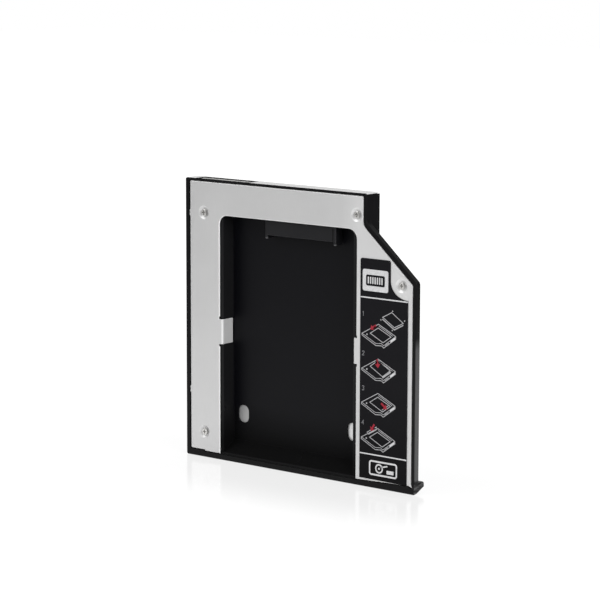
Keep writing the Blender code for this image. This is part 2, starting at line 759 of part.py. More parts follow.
def make_frame(look):
    frame = frame_body()
    behind = THICKNESS + PAST
    beyond = LENGTH + PAST
    room = BOARD_LEFT - GAP
    sheet_right = BODY_WIDTH - BOTTOM_RIM
    cut(
        frame,
        plate("seat", cover_seat_outline(), -PAST, SEAT),
        bay_cutter(),
        block("plug_room", room, BAY_LEFT + PAST, BOARD_ARM_FRONT - GAP, BAY_REAR, -PAST, FLOOR_DEPTH),
        block("rear_seat", -PAST, BODY_WIDTH + PAST, FRAME_REAR, beyond, REAR_LIP, behind),
        bar_slope_cutter(),
        block("bottom_seat", BOTTOM_RIM, sheet_right, BAR_HEIGHT, LENGTH, BOTTOM_SEAT, behind),
    )
    join(frame, detent(), front_rib(), rear_collar())
    cut(frame, block("opening", OPENING_LEFT, OPENING_RIGHT, BAY_REAR - PAST, beyond, OPENING_TOP, OPENING_BOTTOM))
    cut(frame, *tab_pockets())
    cut(frame, *hollow_cutters())
    cut(frame, *floor_holes())
    for u, v in BOARD_SCREWS:
        post_top = BOARD_BACK + GAP
        join(frame, cone("post", u, v, [(POST_RADIUS, post_top), (POST_RADIUS, FLOOR_DEPTH + ROOT)]))
        hole = SCREW_SHAFT_RADIUS + FIT
        cut(frame, cone("hole", u, v, [(hole, 0.0), (hole, FLOOR_DEPTH)], SHAFT_SIDES))
    cut(frame, *screw_hole_cutters())
    for centre in CLIP_SLOT_CENTRES:
        cut(frame, block(
            "clip_slot",
            centre - CLIP_SLOT_WIDTH / 2,
            centre + CLIP_SLOT_WIDTH / 2,
            -PAST,
            CLIP_SLOT_DEPTH,
            CLIP_SLOT_FROM_COVER - CLIP_SLOT_THICKNESS / 2,
            CLIP_SLOT_FROM_COVER + CLIP_SLOT_THICKNESS / 2,
        ))
    return finish(frame, look)


# Top cover

def tab_profile(edge, side):
    """Section of a folded tab in u and w: past the window's edge, round the bend and down into the bay."""
    outer = edge + side * TAB_REACH
    inner = outer - side * COVER_SHEET
    root = edge - side * PAST
    return rounded([
        (root, COVER_DROP, 0.0),
        (outer, COVER_DROP, TAB_BEND),
        (outer, TAB_END, 0.0),
        (inner, TAB_END, 0.0),
        (inner, COVER_BACK, TAB_BEND - COVER_SHEET),
        (root, COVER_BACK, 0.0),
    ])


def relief_cutters(edge, side):
    """Small notches in the window edge at both ends of a tab."""
    cutters = []
    tab_rear = TAB_FRONT + TAB_WIDTH
    for v0, v1 in ((TAB_FRONT - RELIEF_WIDTH, TAB_FRONT), (tab_rear, tab_rear + RELIEF_WIDTH)):
        u0, u1 = sorted((edge - side * RELIEF_DEPTH, edge + side * PAST))
        cutters.append(block("relief", u0, u1, v0, v1, -PAST, SEAT))
    return cutters


def make_top_cover(look):
    cover = plate("top_cover", cover_outline(), COVER_DROP, COVER_BACK, COVER_EDGE)
    for window_edge, side in ((WINDOW_LEFT, 1), (WINDOW_RIGHT, -1)):
        cut(cover, *relief_cutters(window_edge, side))
        join(cover, along("tab", tab_profile(window_edge, side), TAB_FRONT, TAB_FRONT + TAB_WIDTH))
    for u, v in COVER_SCREWS:
        outer = DIMPLE_RADIUS
        inner = DIMPLE_FLOOR_RADIUS
        top = COVER_DROP
        bottom = COVER_BACK
        levels = [(outer, bottom - ROOT), (outer, bottom), (inner, bottom + DIMPLE_DEPTH)]
        join(cover, cone("dimple", u, v, levels))
        rim = outer + (outer - inner) / DIMPLE_DEPTH * PAST
        cut(cover, cone("dish", u, v, [(rim, top - PAST), (inner, top + DIMPLE_DEPTH)]))
        hole = SCREW_SHAFT_RADIUS + FIT
        cut(cover, cone("hole", u, v, [(hole, -PAST), (hole, THICKNESS / 2)], SHAFT_SIDES))
    return finish(cover, look)


# Bottom cover

def make_bottom_cover(look):
    back = BOTTOM_BACK
    front = BOTTOM_FACE
    rear = LENGTH
    rear_top = REAR_LIP + GAP
    profile = rounded([
        (BAR_HEIGHT + GAP, back, 0.0),
        (rear, back, BOTTOM_BEND),
        (rear, rear_top, 0.0),
        (rear - BOTTOM_SHEET, rear_top, 0.0),
        (rear - BOTTOM_SHEET, front, BOTTOM_BEND - BOTTOM_SHEET),
        (BAR_HEIGHT + GAP, front, 0.0),
    ])
    cover = across("bottom_cover", profile, BOTTOM_RIM + GAP, BODY_WIDTH - BOTTOM_RIM - GAP)
    wall = block(
        "rear_wall",
        REAR_SHEET_INSET,
        BODY_WIDTH - REAR_SHEET_INSET,
        rear - BOTTOM_SHEET,
        rear,
        rear_top,
        back - BOTTOM_BEND,
    )
    join(cover, wall)
    room = COLLAR + GAP
    notch_left = OPENING_LEFT - room
    notch_right = OPENING_RIGHT + room
    cut(cover, block("notch", notch_left, notch_right, rear - PAST, rear + PAST, -PAST, OPENING_BOTTOM + room))
    for u in REAR_HOLES:
        outline = circle(u, REAR_HOLE_DEPTH, REAR_HOLE_RADIUS, SHAFT_SIDES)
        cut(cover, along("hole", outline, rear - PAST, rear + PAST))
    for u, v in BOTTOM_SCREWS:
        outer = BOTTOM_DIMPLE_RADIUS
        inner = BOTTOM_DIMPLE_FLOOR_RADIUS
        levels = [(inner, front - DIMPLE_DEPTH), (outer, front), (outer, front + ROOT)]
        join(cover, cone("dimple", u, v, levels))
        rim = outer + (outer - inner) / DIMPLE_DEPTH * PAST
        cut(cover, cone("dish", u, v, [(inner, back - DIMPLE_DEPTH), (rim, back + PAST)]))
        hole = SCREW_SHAFT_RADIUS + FIT
        cut(cover, cone("hole", u, v, [(hole, THICKNESS / 2), (hole, back + PAST)], SHAFT_SIDES))
    return finish(cover, look)


# Screws

def screw_pattern(shaft_length):
    """One screw about its own axis, its head's underside at its origin and its shaft along +Y."""
    head_top = -SCREW_HEAD
    levels = [
        (SCREW_CROWN_RADIUS, head_top),
        (SCREW_HEAD_RADIUS, head_top + SCREW_CROWN),
        (SCREW_HEAD_RADIUS, 0.0),
        (SCREW_SHAFT_RADIUS, 0.0),
        (SCREW_SHAFT_RADIUS, shaft_length - SCREW_TIP),
        (SCREW_TIP_RADIUS, shaft_length),
    ]
    loops = []
    for radius, depth in levels:
        ring = circle(0.0, 0.0, radius, ROUND_SIDES)
        loops.append([(a * MM, depth * MM, b * MM) for a, b in ring])
    screw = loops_to_object("screw", loops)
    arm = CROSS_LENGTH / 2
    half = CROSS_WIDTH / 2
    plus = [
        (arm, -half), (arm, half), (half, half), (half, arm), (-half, arm), (-half, half),
        (-arm, half), (-arm, -half), (-half, -half), (-half, -arm), (half, -arm), (half, -half),
    ]
    depths = (head_top - PAST, head_top + CROSS_DEPTH)
    cross = loops_to_object("cross", [[(a * MM, depth * MM, b * MM) for a, b in plus] for depth in depths])
    cut(screw, cross)
    return screw


def make_screws(look):
    sets = (
        ("cover_screw", COVER_SCREWS, SCREW_LENGTH, COVER_DROP + DIMPLE_DEPTH - GAP, 0.0),
        ("bottom_screw", BOTTOM_SCREWS, SCREW_LENGTH, BOTTOM_BACK - DIMPLE_DEPTH + GAP, math.pi),
        ("board_screw", BOARD_SCREWS, BOARD_SCREW_LENGTH, BOARD_DEPTH - GAP, 0.0),
    )
    for name, places, shaft_length, depth, turn in sets:
        pattern = finish(screw_pattern(shaft_length), look)
        for number, (u, v) in enumerate(places, start=1):
            screw = bpy.data.objects.new(f"{name}_{number}", pattern.data)
            bpy.context.collection.objects.link(screw)
            screw.location = place(u, v, depth)
            screw.rotation_euler = (0.0, 0.0, turn)
        bpy.data.objects.remove(pattern, do_unlink=True)


# Label

def make_label(look):
    """Sticker cut a little askew, with round corners and a scoop around the nearest screw."""
    rear = v_at(cover_edge_line(), LABEL_SHOULDER) - LABEL_FROM_CHAMFER
    scoop = []
    start = (LABEL_RIGHT, LABEL_SCOOP_FRONT)
    end = (LABEL_SHOULDER, LABEL_SCOOP_REAR)
    for step in range(LABEL_SCOOP_STEPS + 1):
        angle = math.radians(90.0) * step / LABEL_SCOOP_STEPS
        u = start[0] + (end[0] - start[0]) * math.sin(angle)
        v = start[1] + (end[1] - start[1]) * (1.0 - math.cos(angle))
        scoop.append((u, v, 0.0))
    corners = [(LABEL_LEFT, LABEL_FRONT + LABEL_SKEW, 0.0), (LABEL_RIGHT, LABEL_FRONT, 0.0)]
    corners += scoop
    corners += [(LABEL_SHOULDER, rear, LABEL_RADIUS), (LABEL_LEFT, rear, LABEL_RADIUS)]
    top = COVER_DROP - LABEL_LIFT - LABEL_THICKNESS
    label = plate("instruction_label", rounded(corners), top, top + LABEL_THICKNESS)
    return finish(label, look, smooth=False)


# Adapter board and what it carries

def make_board(look):
    outline = [
        (BOARD_LEFT, BOARD_ARM_FRONT),
        (BAY_LEFT + BOARD_MARGIN, BOARD_ARM_FRONT),
        (BAY_LEFT + BOARD_MARGIN, BOARD_FRONT),
        (BOARD_RIGHT, BOARD_FRONT),
        (BOARD_RIGHT, BOARD_REAR),
        (BOARD_LEFT, BOARD_REAR),
    ]
    board = plate("adapter_board", outline, BOARD_DEPTH, BOARD_BACK)
    hole = SCREW_SHAFT_RADIUS + FIT
    for u, v in BOARD_SCREWS:
        cut(board, cone("hole", u, v, [(hole, 0.0), (hole, THICKNESS)], SHAFT_SIDES))
    return finish(board, look, smooth=False)


def make_component(name, u, size, look):
    """One small component behind the receptacle, a little above the board."""
    width, length, height = size
    v = BOARD_REAR - COMPONENT_FROM_REAR
    bottom = BOARD_DEPTH - FIT
    outline = rectangle(u - width / 2, v - length / 2, u + width / 2, v + length / 2, COMPONENT_RADIUS)
    finish(plate(name, outline, bottom - height, bottom), look, smooth=False)


def make_components(capacitor_look, resistor_look):
    u = BOARD_SCREWS[0][0]
    for number in range(1, CAPACITOR_COUNT + 1):
        u += COMPONENT_PITCH
        make_component(f"board_capacitor_{number}", u, CAPACITOR_SIZE, capacitor_look)
    for number in range(1, RESISTOR_COUNT + 1):
        u += COMPONENT_PITCH
        make_component(f"board_resistor_{number}", u, RESISTOR_SIZE, resistor_look)


def drive_contact_places():
    """Centres of the signal and power contacts across the receptacle."""
    span = (SIGNAL_CONTACTS + POWER_CONTACTS - 2) * CONTACT_PITCH + SIGNAL_TO_POWER
    first = RECEPTACLE_LEFT + (RECEPTACLE_WIDTH - span) / 2
    signal = [first + i * CONTACT_PITCH for i in range(SIGNAL_CONTACTS)]
    first_power = signal[-1] + SIGNAL_TO_POWER
    power = [first_power + i * CONTACT_PITCH for i in range(POWER_CONTACTS)]
    return signal, power


def host_contact_places():
    signal = [PLUG_LEFT + HOST_SIGNAL_START + i * HOST_PITCH for i in range(HOST_SIGNAL_CONTACTS)]
    power = [PLUG_LEFT + HOST_POWER_START + i * HOST_POWER_PITCH for i in range(HOST_POWER_CONTACTS)]
    return signal, power


def strip_outline(path, thickness):
    """Thin strip along a path in v and w, as a closed outline."""
    one_side = []
    other_side = []
    for i, (v, w) in enumerate(path):
        ahead = path[min(i + 1, len(path) - 1)]
        behind = path[max(i - 1, 0)]
        run = (ahead[0] - behind[0], ahead[1] - behind[1])
        length = math.hypot(*run)
        normal = (-run[1] / length * thickness / 2, run[0] / length * thickness / 2)
        one_side.append((v + normal[0], w + normal[1]))
        other_side.append((v - normal[0], w - normal[1]))
    return one_side + other_side[::-1]


def drive_contact_path():
    """From the tip in the slot to the tail on the board."""
    seat = BOARD_DEPTH - GAP - CONTACT_THICKNESS / 2 + FIT
    tip = RECEPTACLE_FACE + CONTACT_RECESS
    end = RECEPTACLE_FACE + RECEPTACLE_LENGTH
    return [
        (tip, SLOT_BOTTOM + GROOVE_DEPTH),
        (tip + CONTACT_LEAD, SLOT_BOTTOM - CONTACT_SPRING),
        (tip + CONTACT_LEAD + CONTACT_PAD, SLOT_BOTTOM + CONTACT_SPRING),
        (end - CONTACT_BEND, seat),
        (BOARD_FRONT + CONTACT_TAIL, seat),
    ]


def host_contact_path():
    """From the tip on the tongue down to the tail on the board."""
    on_tongue = TONGUE_TOP + TONGUE_THICKNESS + CONTACT_THICKNESS / 2
    seat = BOARD_DEPTH - GAP - CONTACT_THICKNESS / 2 + FIT
    return [
        (PLUG_REAR - HOST_CONTACT_RECESS, on_tongue),
        (PLUG_FRONT - HOST_CONTACT_STEP, on_tongue),
        (PLUG_FRONT - HOST_CONTACT_BEND, seat),
        (PLUG_FRONT - HOST_CONTACT_TAIL, seat),
    ]


def make_drive_receptacle(look):
    left = RECEPTACLE_LEFT
    right = left + RECEPTACLE_WIDTH
    face = RECEPTACLE_FACE
    rear = face + RECEPTACLE_LENGTH
    outline = rounded([
        (left, face - HORN_LENGTH, HORN_RADIUS),
        (left + HORN_WIDTH, face - HORN_LENGTH, HORN_RADIUS),
        (left + HORN_WIDTH, face, 0.0),
        (right - HORN_WIDTH, face, 0.0),
        (right - HORN_WIDTH, face - HORN_LENGTH, HORN_RADIUS),
        (right, face - HORN_LENGTH, HORN_RADIUS),
        (right, rear, RECEPTACLE_RADIUS),
        (left, rear, RECEPTACLE_RADIUS),
    ])
    edge = RECEPTACLE_EDGE
    housing = plate("drive_receptacle", outline, RECEPTACLE_TOP, RECEPTACLE_BOTTOM, edge, edge)
    before = face - HORN_LENGTH - PAST
    groups = drive_contact_places()
    for places in groups:
        u0 = places[0] - SLOT_MARGIN
        u1 = places[-1] + SLOT_MARGIN
        end = face + SLOT_LENGTH
        key_top = SLOT_TOP - SLOT_KEY_HEIGHT
        cut(housing, block("slot", u0, u1, before, end, SLOT_TOP, SLOT_BOTTOM))
        cut(housing, block("key", u0, u0 + SLOT_KEY, before, end, key_top, SLOT_TOP + ROOT))
    for u in groups[0] + groups[1]:
        half = CONTACT_WIDTH / 2 + FIT
        top = SLOT_BOTTOM - GROOVE_DEPTH
        cut(housing, block("groove", u - half, u + half, face + GROOVE_RECESS, rear + PAST, top, BOARD_DEPTH))
    return finish(housing, look, smooth=False)


def make_host_plug(look):
    left = PLUG_LEFT
    right = left + PLUG_WIDTH
    outline = rectangle(left, PLUG_FRONT, right, PLUG_REAR, PLUG_RADIUS)
    housing = plate("host_plug", outline, PLUG_TOP, PLUG_BOTTOM)
    cavity = block(
        "cavity",
        left + PLUG_WALL,
        right - PLUG_WALL,
        PLUG_REAR - PLUG_CAVITY,
        PLUG_REAR + PAST,
        PLUG_TOP + PLUG_WALL,
        PLUG_BOTTOM - PLUG_WALL / 2,
    )
    cut(housing, cavity)
    tongue_bottom = TONGUE_TOP + TONGUE_THICKNESS
    for places in host_contact_places():
        u0 = places[0] - HOST_TONGUE_MARGIN
        u1 = places[-1] + HOST_TONGUE_MARGIN
        root = PLUG_REAR - PLUG_CAVITY - ROOT
        join(housing, block("tongue", u0, u1, root, PLUG_REAR - TONGUE_RECESS, TONGUE_TOP, tongue_bottom))
        for u in places:
            half = CONTACT_WIDTH / 2 + FIT
            cut(housing, block(
                "groove",
                u - half,
                u + half,
                PLUG_FRONT - PAST,
                PLUG_REAR - HOST_GROOVE_RECESS,
                tongue_bottom - FIT,
                tongue_bottom + CONTACT_THICKNESS + FIT,
            ))
    return finish(housing, look, smooth=False)


def make_contacts(look):
    sets = (
        ("drive_signal_contact", drive_contact_places()[0], drive_contact_path()),
        ("drive_power_contact", drive_contact_places()[1], drive_contact_path()),
        ("host_signal_contact", host_contact_places()[0], host_contact_path()),
        ("host_power_contact", host_contact_places()[1], host_contact_path()),
    )
    for name, places, path in sets:
        outline = strip_outline(path, CONTACT_THICKNESS)
        for number, u in enumerate(places, start=1):
            strip = across(f"{name}_{number}", outline, u - CONTACT_WIDTH / 2, u + CONTACT_WIDTH / 2)
            finish(strip, look, smooth=False)


def main():
    clear_scene()
    black = material("black plastic", (0.012, 0.012, 0.014), 0.45, 0.0)
    silver = material("brushed aluminium", (0.72, 0.73, 0.74), 0.35, 1.0)
    steel = material("nickel plated steel", (0.75, 0.74, 0.72), 0.25, 1.0)
    print_black = material("black label film", (0.015, 0.015, 0.018), 0.5, 0.0)
    green = material("green board", (0.01, 0.12, 0.05), 0.4, 0.0)
    grey = material("light grey plastic", (0.5, 0.5, 0.5), 0.5, 0.0)
    connector_black = material("connector plastic", (0.02, 0.02, 0.022), 0.4, 0.0)
    gold = material("gold plated contact", (0.83, 0.62, 0.25), 0.25, 1.0)
    ceramic = material("capacitor ceramic", (0.35, 0.24, 0.14), 0.5, 0.0)
    resistor = material("resistor ceramic", (0.03, 0.03, 0.03), 0.5, 0.0)
    make_frame(black)
    make_top_cover(silver)
    make_bottom_cover(silver)
    make_label(print_black)
    make_screws(steel)
    make_board(green)
    make_components(ceramic, resistor)
    make_drive_receptacle(connector_black)
    make_host_plug(grey)
    make_contacts(gold)


main()
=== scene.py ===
import math

import bmesh
import bpy
from mathutils import Matrix, Vector


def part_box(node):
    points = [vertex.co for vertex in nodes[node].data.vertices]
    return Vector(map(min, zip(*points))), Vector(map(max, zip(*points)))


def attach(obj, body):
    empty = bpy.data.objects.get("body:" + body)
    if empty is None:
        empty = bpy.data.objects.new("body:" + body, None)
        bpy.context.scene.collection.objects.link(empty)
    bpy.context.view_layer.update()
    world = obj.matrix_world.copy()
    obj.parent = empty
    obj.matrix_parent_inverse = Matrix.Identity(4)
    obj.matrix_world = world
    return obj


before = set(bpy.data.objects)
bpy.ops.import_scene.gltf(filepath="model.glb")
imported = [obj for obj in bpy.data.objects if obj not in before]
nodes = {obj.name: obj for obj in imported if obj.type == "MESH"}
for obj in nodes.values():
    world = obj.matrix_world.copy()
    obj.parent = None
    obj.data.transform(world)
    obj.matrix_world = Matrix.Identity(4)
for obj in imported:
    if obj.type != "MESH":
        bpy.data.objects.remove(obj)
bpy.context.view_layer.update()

# Places are in millimetres: u from the left side, v from the front bar, w from the cover side inwards.
MM = 0.001
MIDDLE_U = 64.0
MIDDLE_W = 4.75


def place(u, v, w):
    return Vector(((u - MIDDLE_U) * MM, (w - MIDDLE_W) * MM, v * MM))


# Building materials from nodes

WHITE = (1.0, 1.0, 1.0, 1.0)
BEVEL_SAMPLES = 6

# The part of a noise that is spread over a whole range
NOISE_LOW = 0.3
NOISE_HIGH = 0.7


def new_material(name):
    material = bpy.data.materials.new(name)
    material.use_nodes = True
    tree = material.node_tree
    tree.nodes.clear()
    out = tree.nodes.new("ShaderNodeOutputMaterial")
    shader = tree.nodes.new("ShaderNodeBsdfPrincipled")
    tree.links.new(shader.outputs[0], out.inputs["Surface"])
    return material, tree, shader


def add(tree, kind, inputs, **settings):
    """One node with its settings, and with each input either linked or set."""
    node = tree.nodes.new(kind)
    for key, value in settings.items():
        setattr(node, key, value)
    for key, value in inputs.items():
        if isinstance(value, bpy.types.NodeSocket):
            tree.links.new(value, node.inputs[key])
        else:
            node.inputs[key].default_value = value
    return node


def feed(tree, shader, **inputs):
    """Sets or links the shader's inputs, with _ standing for a space in their names."""
    for key, value in inputs.items():
        socket = shader.inputs[key.replace("_", " ")]
        if isinstance(value, bpy.types.NodeSocket):
            tree.links.new(value, socket)
        else:
            socket.default_value = value


def maths(tree, operation, first, second=0.0):
    return add(tree, "ShaderNodeMath", {0: first, 1: second}, operation=operation).outputs[0]


def plus(tree, first, second):
    return maths(tree, "ADD", first, second)


def minus(tree, first, second):
    return maths(tree, "SUBTRACT", first, second)


def times(tree, first, *others):
    for other in others:
        first = maths(tree, "MULTIPLY", first, other)
    return first


def length_of(tree, first, second):
    """The long side of a right triangle."""
    square = plus(tree, maths(tree, "POWER", first, 2.0), maths(tree, "POWER", second, 2.0))
    return maths(tree, "SQRT", square)


def vector_maths(tree, operation, inputs):
    return add(tree, "ShaderNodeVectorMath", inputs, operation=operation)


def remap(tree, value, low, high, to_low, to_high):
    inputs = {0: value, 1: low, 2: high, 3: to_low, 4: to_high}
    return add(tree, "ShaderNodeMapRange", inputs).outputs[0]


def rise(tree, value, start, reach, top=1.0):
    """0 up to the start, growing to the top over the reach."""
    return remap(tree, value, start, start + reach, 0.0, top)


def fall(tree, value, start, reach, top=1.0):
    """The top up to the start, sinking to 0 over the reach."""
    return remap(tree, value, start, start + reach, top, 0.0)


def ramp(tree, value, low, high):
    """0 up to the low value, 1 from the high one on. The high one may also be the smaller."""
    return remap(tree, value, low, high, 0.0, 1.0)


def share(tree, mask, at_none, at_full):
    """A value that goes from one to the other as the mask grows from 0 to 1."""
    return remap(tree, mask, 0.0, 1.0, at_none, at_full)


def spread(tree, value, low, high):
    """A noise spread over a range."""
    return remap(tree, value, NOISE_LOW, NOISE_HIGH, low, high)


def around(tree, value, middle, reach):
    return spread(tree, value, middle - reach, middle + reach)


def blend(tree, amount, first, second):
    inputs = {0: amount, 6: first, 7: second}
    return add(tree, "ShaderNodeMix", inputs, data_type="RGBA").outputs[2]


def parts_of(tree, vector):
    return tuple(add(tree, "ShaderNodeSeparateXYZ", {0: vector}).outputs)


def millimetres(tree):
    """The place on the object in millimetres, the same from every side."""
    where = add(tree, "ShaderNodeTexCoord", {}).outputs["Object"]
    return vector_maths(tree, "SCALE", {0: where, "Scale": 1.0 / MM}).outputs["Vector"]


def places(tree, where):
    """u, v and w of a place in millimetres."""
    x, y, z = parts_of(tree, where)
    return plus(tree, x, MIDDLE_U), z, plus(tree, y, MIDDLE_W)


def own_box(tree):
    """The place within the piece's own box, from 0 to 1 each way."""
    return add(tree, "ShaderNodeTexCoord", {}).outputs["Generated"]


def stretched(tree, where, across, depth, along):
    return vector_maths(tree, "MULTIPLY", {0: where, 1: (across, depth, along)}).outputs["Vector"]


def noise(tree, where, scale=1.0, detail=2.0, roughness=0.5):
    inputs = {"Vector": where, "Scale": scale, "Detail": detail, "Roughness": roughness}
    return add(tree, "ShaderNodeTexNoise", inputs).outputs[0]


def true_normal(tree):
    return add(tree, "ShaderNodeNewGeometry", {}).outputs["True Normal"]


def soft_edge(tree, radius, start=0.985, full=0.86):
    """The normal of an edge rounded by radius, and a mask that is 1 on the edge and 0 on flat faces."""
    rounded = add(tree, "ShaderNodeBevel", {"Radius": radius * MM}, samples=BEVEL_SAMPLES).outputs[0]
    agree = vector_maths(tree, "DOT_PRODUCT", {0: rounded, 1: true_normal(tree)}).outputs["Value"]
    return rounded, ramp(tree, agree, start, full)


def facing_front(tree):
    """How squarely a face looks along the object's thin direction: 1 for flat sheet, 0 for a cut wall."""
    settings = {"vector_type": "NORMAL", "convert_from": "WORLD", "convert_to": "OBJECT"}
    turned_back = add(tree, "ShaderNodeVectorTransform", {0: true_normal(tree)}, **settings).outputs[0]
    return maths(tree, "ABSOLUTE", parts_of(tree, turned_back)[1])


def bump(tree, height, distance, normal):
    inputs = {"Strength": 1.0, "Distance": distance, "Height": height, "Normal": normal}
    return add(tree, "ShaderNodeBump", inputs).outputs[0]


def shade(red, green, blue):
    return (red, green, blue, 1.0)


def grey(level):
    return shade(level, level, level)


def lighter(colour, factor):
    return shade(*(min(1.0, part * factor) for part in colour[:3]))


NEAR_BLACK = shade(0.0004, 0.0004, 0.0005)


# Sheet metal

# Etched aluminium scatters part of the light as a matt surface does, its rubbed tabs and cut edges more so;
# the edges also carry a painted highlight
SHEET_METALLIC = 0.62
RUBBED_METALLIC = 0.25
EDGE_METALLIC_SHARE = 0.15
SHEET_ROUGHNESS = 0.42
BRUSH_ROUGHNESS = 0.05
CLOUD_ROUGHNESS = 0.02
SHEET_RELIEF = 0.0000035
BRUSH_HEIGHT = 0.7
GRAIN_HEIGHT = 0.3

# Brushing is fine across its lines and long along them
BRUSH_FINE = 9.0
BRUSH_LONG = 0.35
BRUSH_FROM = 0.35
BRUSH_TO = 0.65
BRUSH_STRENGTH = 0.16
BRUSH_DARK = 0.86
CLOUD_SCALE = 0.045
CLOUD_DARK = 0.975
CLOUD_LIGHT = 1.02
GRAIN_SCALE = 7.0
SHEET_EDGE_START = 0.995
SHEET_EDGE_FULL = 0.92
SHEET_HIGHLIGHT_FULL = 0.62
SHEET_HIGHLIGHT_LEAST = 0.8

# The drives that slide past the tabs rub them dull
RUBBED_FROM = 1.2
RUBBED_TO = 1.8
RUBBED_REAR = 100.0

# A face is a cut edge once it turns this far from the flat of the sheet
CUT_START = 0.86
CUT_FULL = 0.76

# The bottom sheet's inner side, up to its rear bend, is painted with shade on the left and painted lighter to
# the right
INNER_DEPTH = 9.1
INNER_REAR = 120.0
INNER_SHADED = 44.0
INNER_LIT = 84.0
INNER_LIT_GAIN = 1.5

# The rear half of the cover's right arm is a little lighter than the rest
ARM_LEFT = 88.0
ARM_RIGHT = 97.0
ARM_FRONT = 40.0
ARM_REAR = 85.0


def on_right_arm(tree, u, v):
    return times(tree, ramp(tree, u, ARM_LEFT, ARM_RIGHT), ramp(tree, v, ARM_FRONT, ARM_REAR))


def on_inner_side(tree, v, w):
    return times(tree, fall(tree, w, INNER_DEPTH, 0.1), fall(tree, v, INNER_REAR, 1.0))


def on_tabs(tree, v, w):
    return times(tree, ramp(tree, w, RUBBED_FROM, RUBBED_TO), fall(tree, v, RUBBED_REAR, 1.0))


def sheet_metal(name, level, edge_highlight_level, grain_along, edge_radius,
                arm_level=None, inner_shade_level=None, rubbed_level=None):
    """Thin aluminium sheet: fine brushing, faint clouding, and a painted highlight on its edges and cut
    walls.
    """
    material, tree, shader = new_material(name)
    where = millimetres(tree)
    u, v, w = places(tree, where)
    across, along = (BRUSH_FINE, BRUSH_LONG) if grain_along else (BRUSH_LONG, BRUSH_FINE)
    drawn_out = stretched(tree, where, across, BRUSH_FINE, along)
    brushing = noise(tree, drawn_out, detail=5.0, roughness=0.6)
    cloud = noise(tree, where, CLOUD_SCALE, detail=3.0)
    grain = noise(tree, where, GRAIN_SCALE, detail=3.0, roughness=0.6)
    rounded, edge = soft_edge(tree, edge_radius, SHEET_EDGE_START, SHEET_EDGE_FULL)
    # Painted highlight on the edges: a lighter colour, broken up by the grain, with less metal
    edge_highlight = times(tree, edge, remap(tree, grain, NOISE_LOW, SHEET_HIGHLIGHT_FULL, SHEET_HIGHLIGHT_LEAST, 1.0))
    clouded = spread(tree, cloud, 0.0, 1.0)
    face = blend(tree, clouded, grey(level * CLOUD_DARK), grey(level * CLOUD_LIGHT))
    lines = remap(tree, brushing, BRUSH_FROM, BRUSH_TO, 0.0, BRUSH_STRENGTH)
    face = blend(tree, lines, face, grey(level * BRUSH_DARK))
    metal = SHEET_METALLIC
    if arm_level:
        face = blend(tree, on_right_arm(tree, u, v), face, grey(arm_level))
    if inner_shade_level:
        # Painted shade on the inner side, lightening towards the right
        sideways = ramp(tree, u, INNER_SHADED, INNER_LIT)
        inner_shade = blend(tree, sideways, grey(inner_shade_level), grey(inner_shade_level * INNER_LIT_GAIN))
        face = blend(tree, on_inner_side(tree, v, w), face, inner_shade)
    if rubbed_level:
        rubbed = on_tabs(tree, v, w)
        face = blend(tree, rubbed, face, grey(rubbed_level))
        metal = share(tree, rubbed, SHEET_METALLIC, RUBBED_METALLIC)
        # Cut walls outside the rubbed tabs get the same painted highlight
        cut_highlight = times(tree, ramp(tree, facing_front(tree), CUT_START, CUT_FULL), share(tree, rubbed, 1.0, 0.0))
        edge_highlight = maths(tree, "MAXIMUM", edge_highlight, cut_highlight)
    colour = blend(tree, edge_highlight, face, grey(edge_highlight_level))
    rough = plus(tree, around(tree, brushing, SHEET_ROUGHNESS, BRUSH_ROUGHNESS),
                 around(tree, cloud, 0.0, CLOUD_ROUGHNESS))
    height = plus(tree, times(tree, brushing, BRUSH_HEIGHT), times(tree, grain, GRAIN_HEIGHT))
    metal = times(tree, metal, share(tree, edge_highlight, 1.0, EDGE_METALLIC_SHARE))
    feed(tree, shader, Base_Color=colour, Metallic=metal, Roughness=rough,
         Normal=bump(tree, height, SHEET_RELIEF, rounded))
    return material


# Plated metal

PLATED_RELIEF = 0.000005
RING_HEIGHT = 0.3
GRIME_SCALE = 1.6
GRIME_FROM = 0.35
GRIME_TO = 0.75
GRIME_DARK = 0.35
PLATED_SMOOTHER = 0.05
PLATED_ROUGHER = 0.08
PLATED_HIGHLIGHT_GAIN = 1.22
PLATED_HIGHLIGHT_SHARE = 0.8

# A recess is painted darker as shade where it lies deep and near the middle, and the rim is painted darker as
# the head's shadow, in shares of the piece's own box
RECESS_START = 0.04
RECESS_FULL = 0.08
RECESS_RADIUS = 0.33
RECESS_SOFTNESS = 0.03
RECESS_SHADE = 0.85
RIM_SHADE = 0.5
NO_SHADED_RIM = 2.0


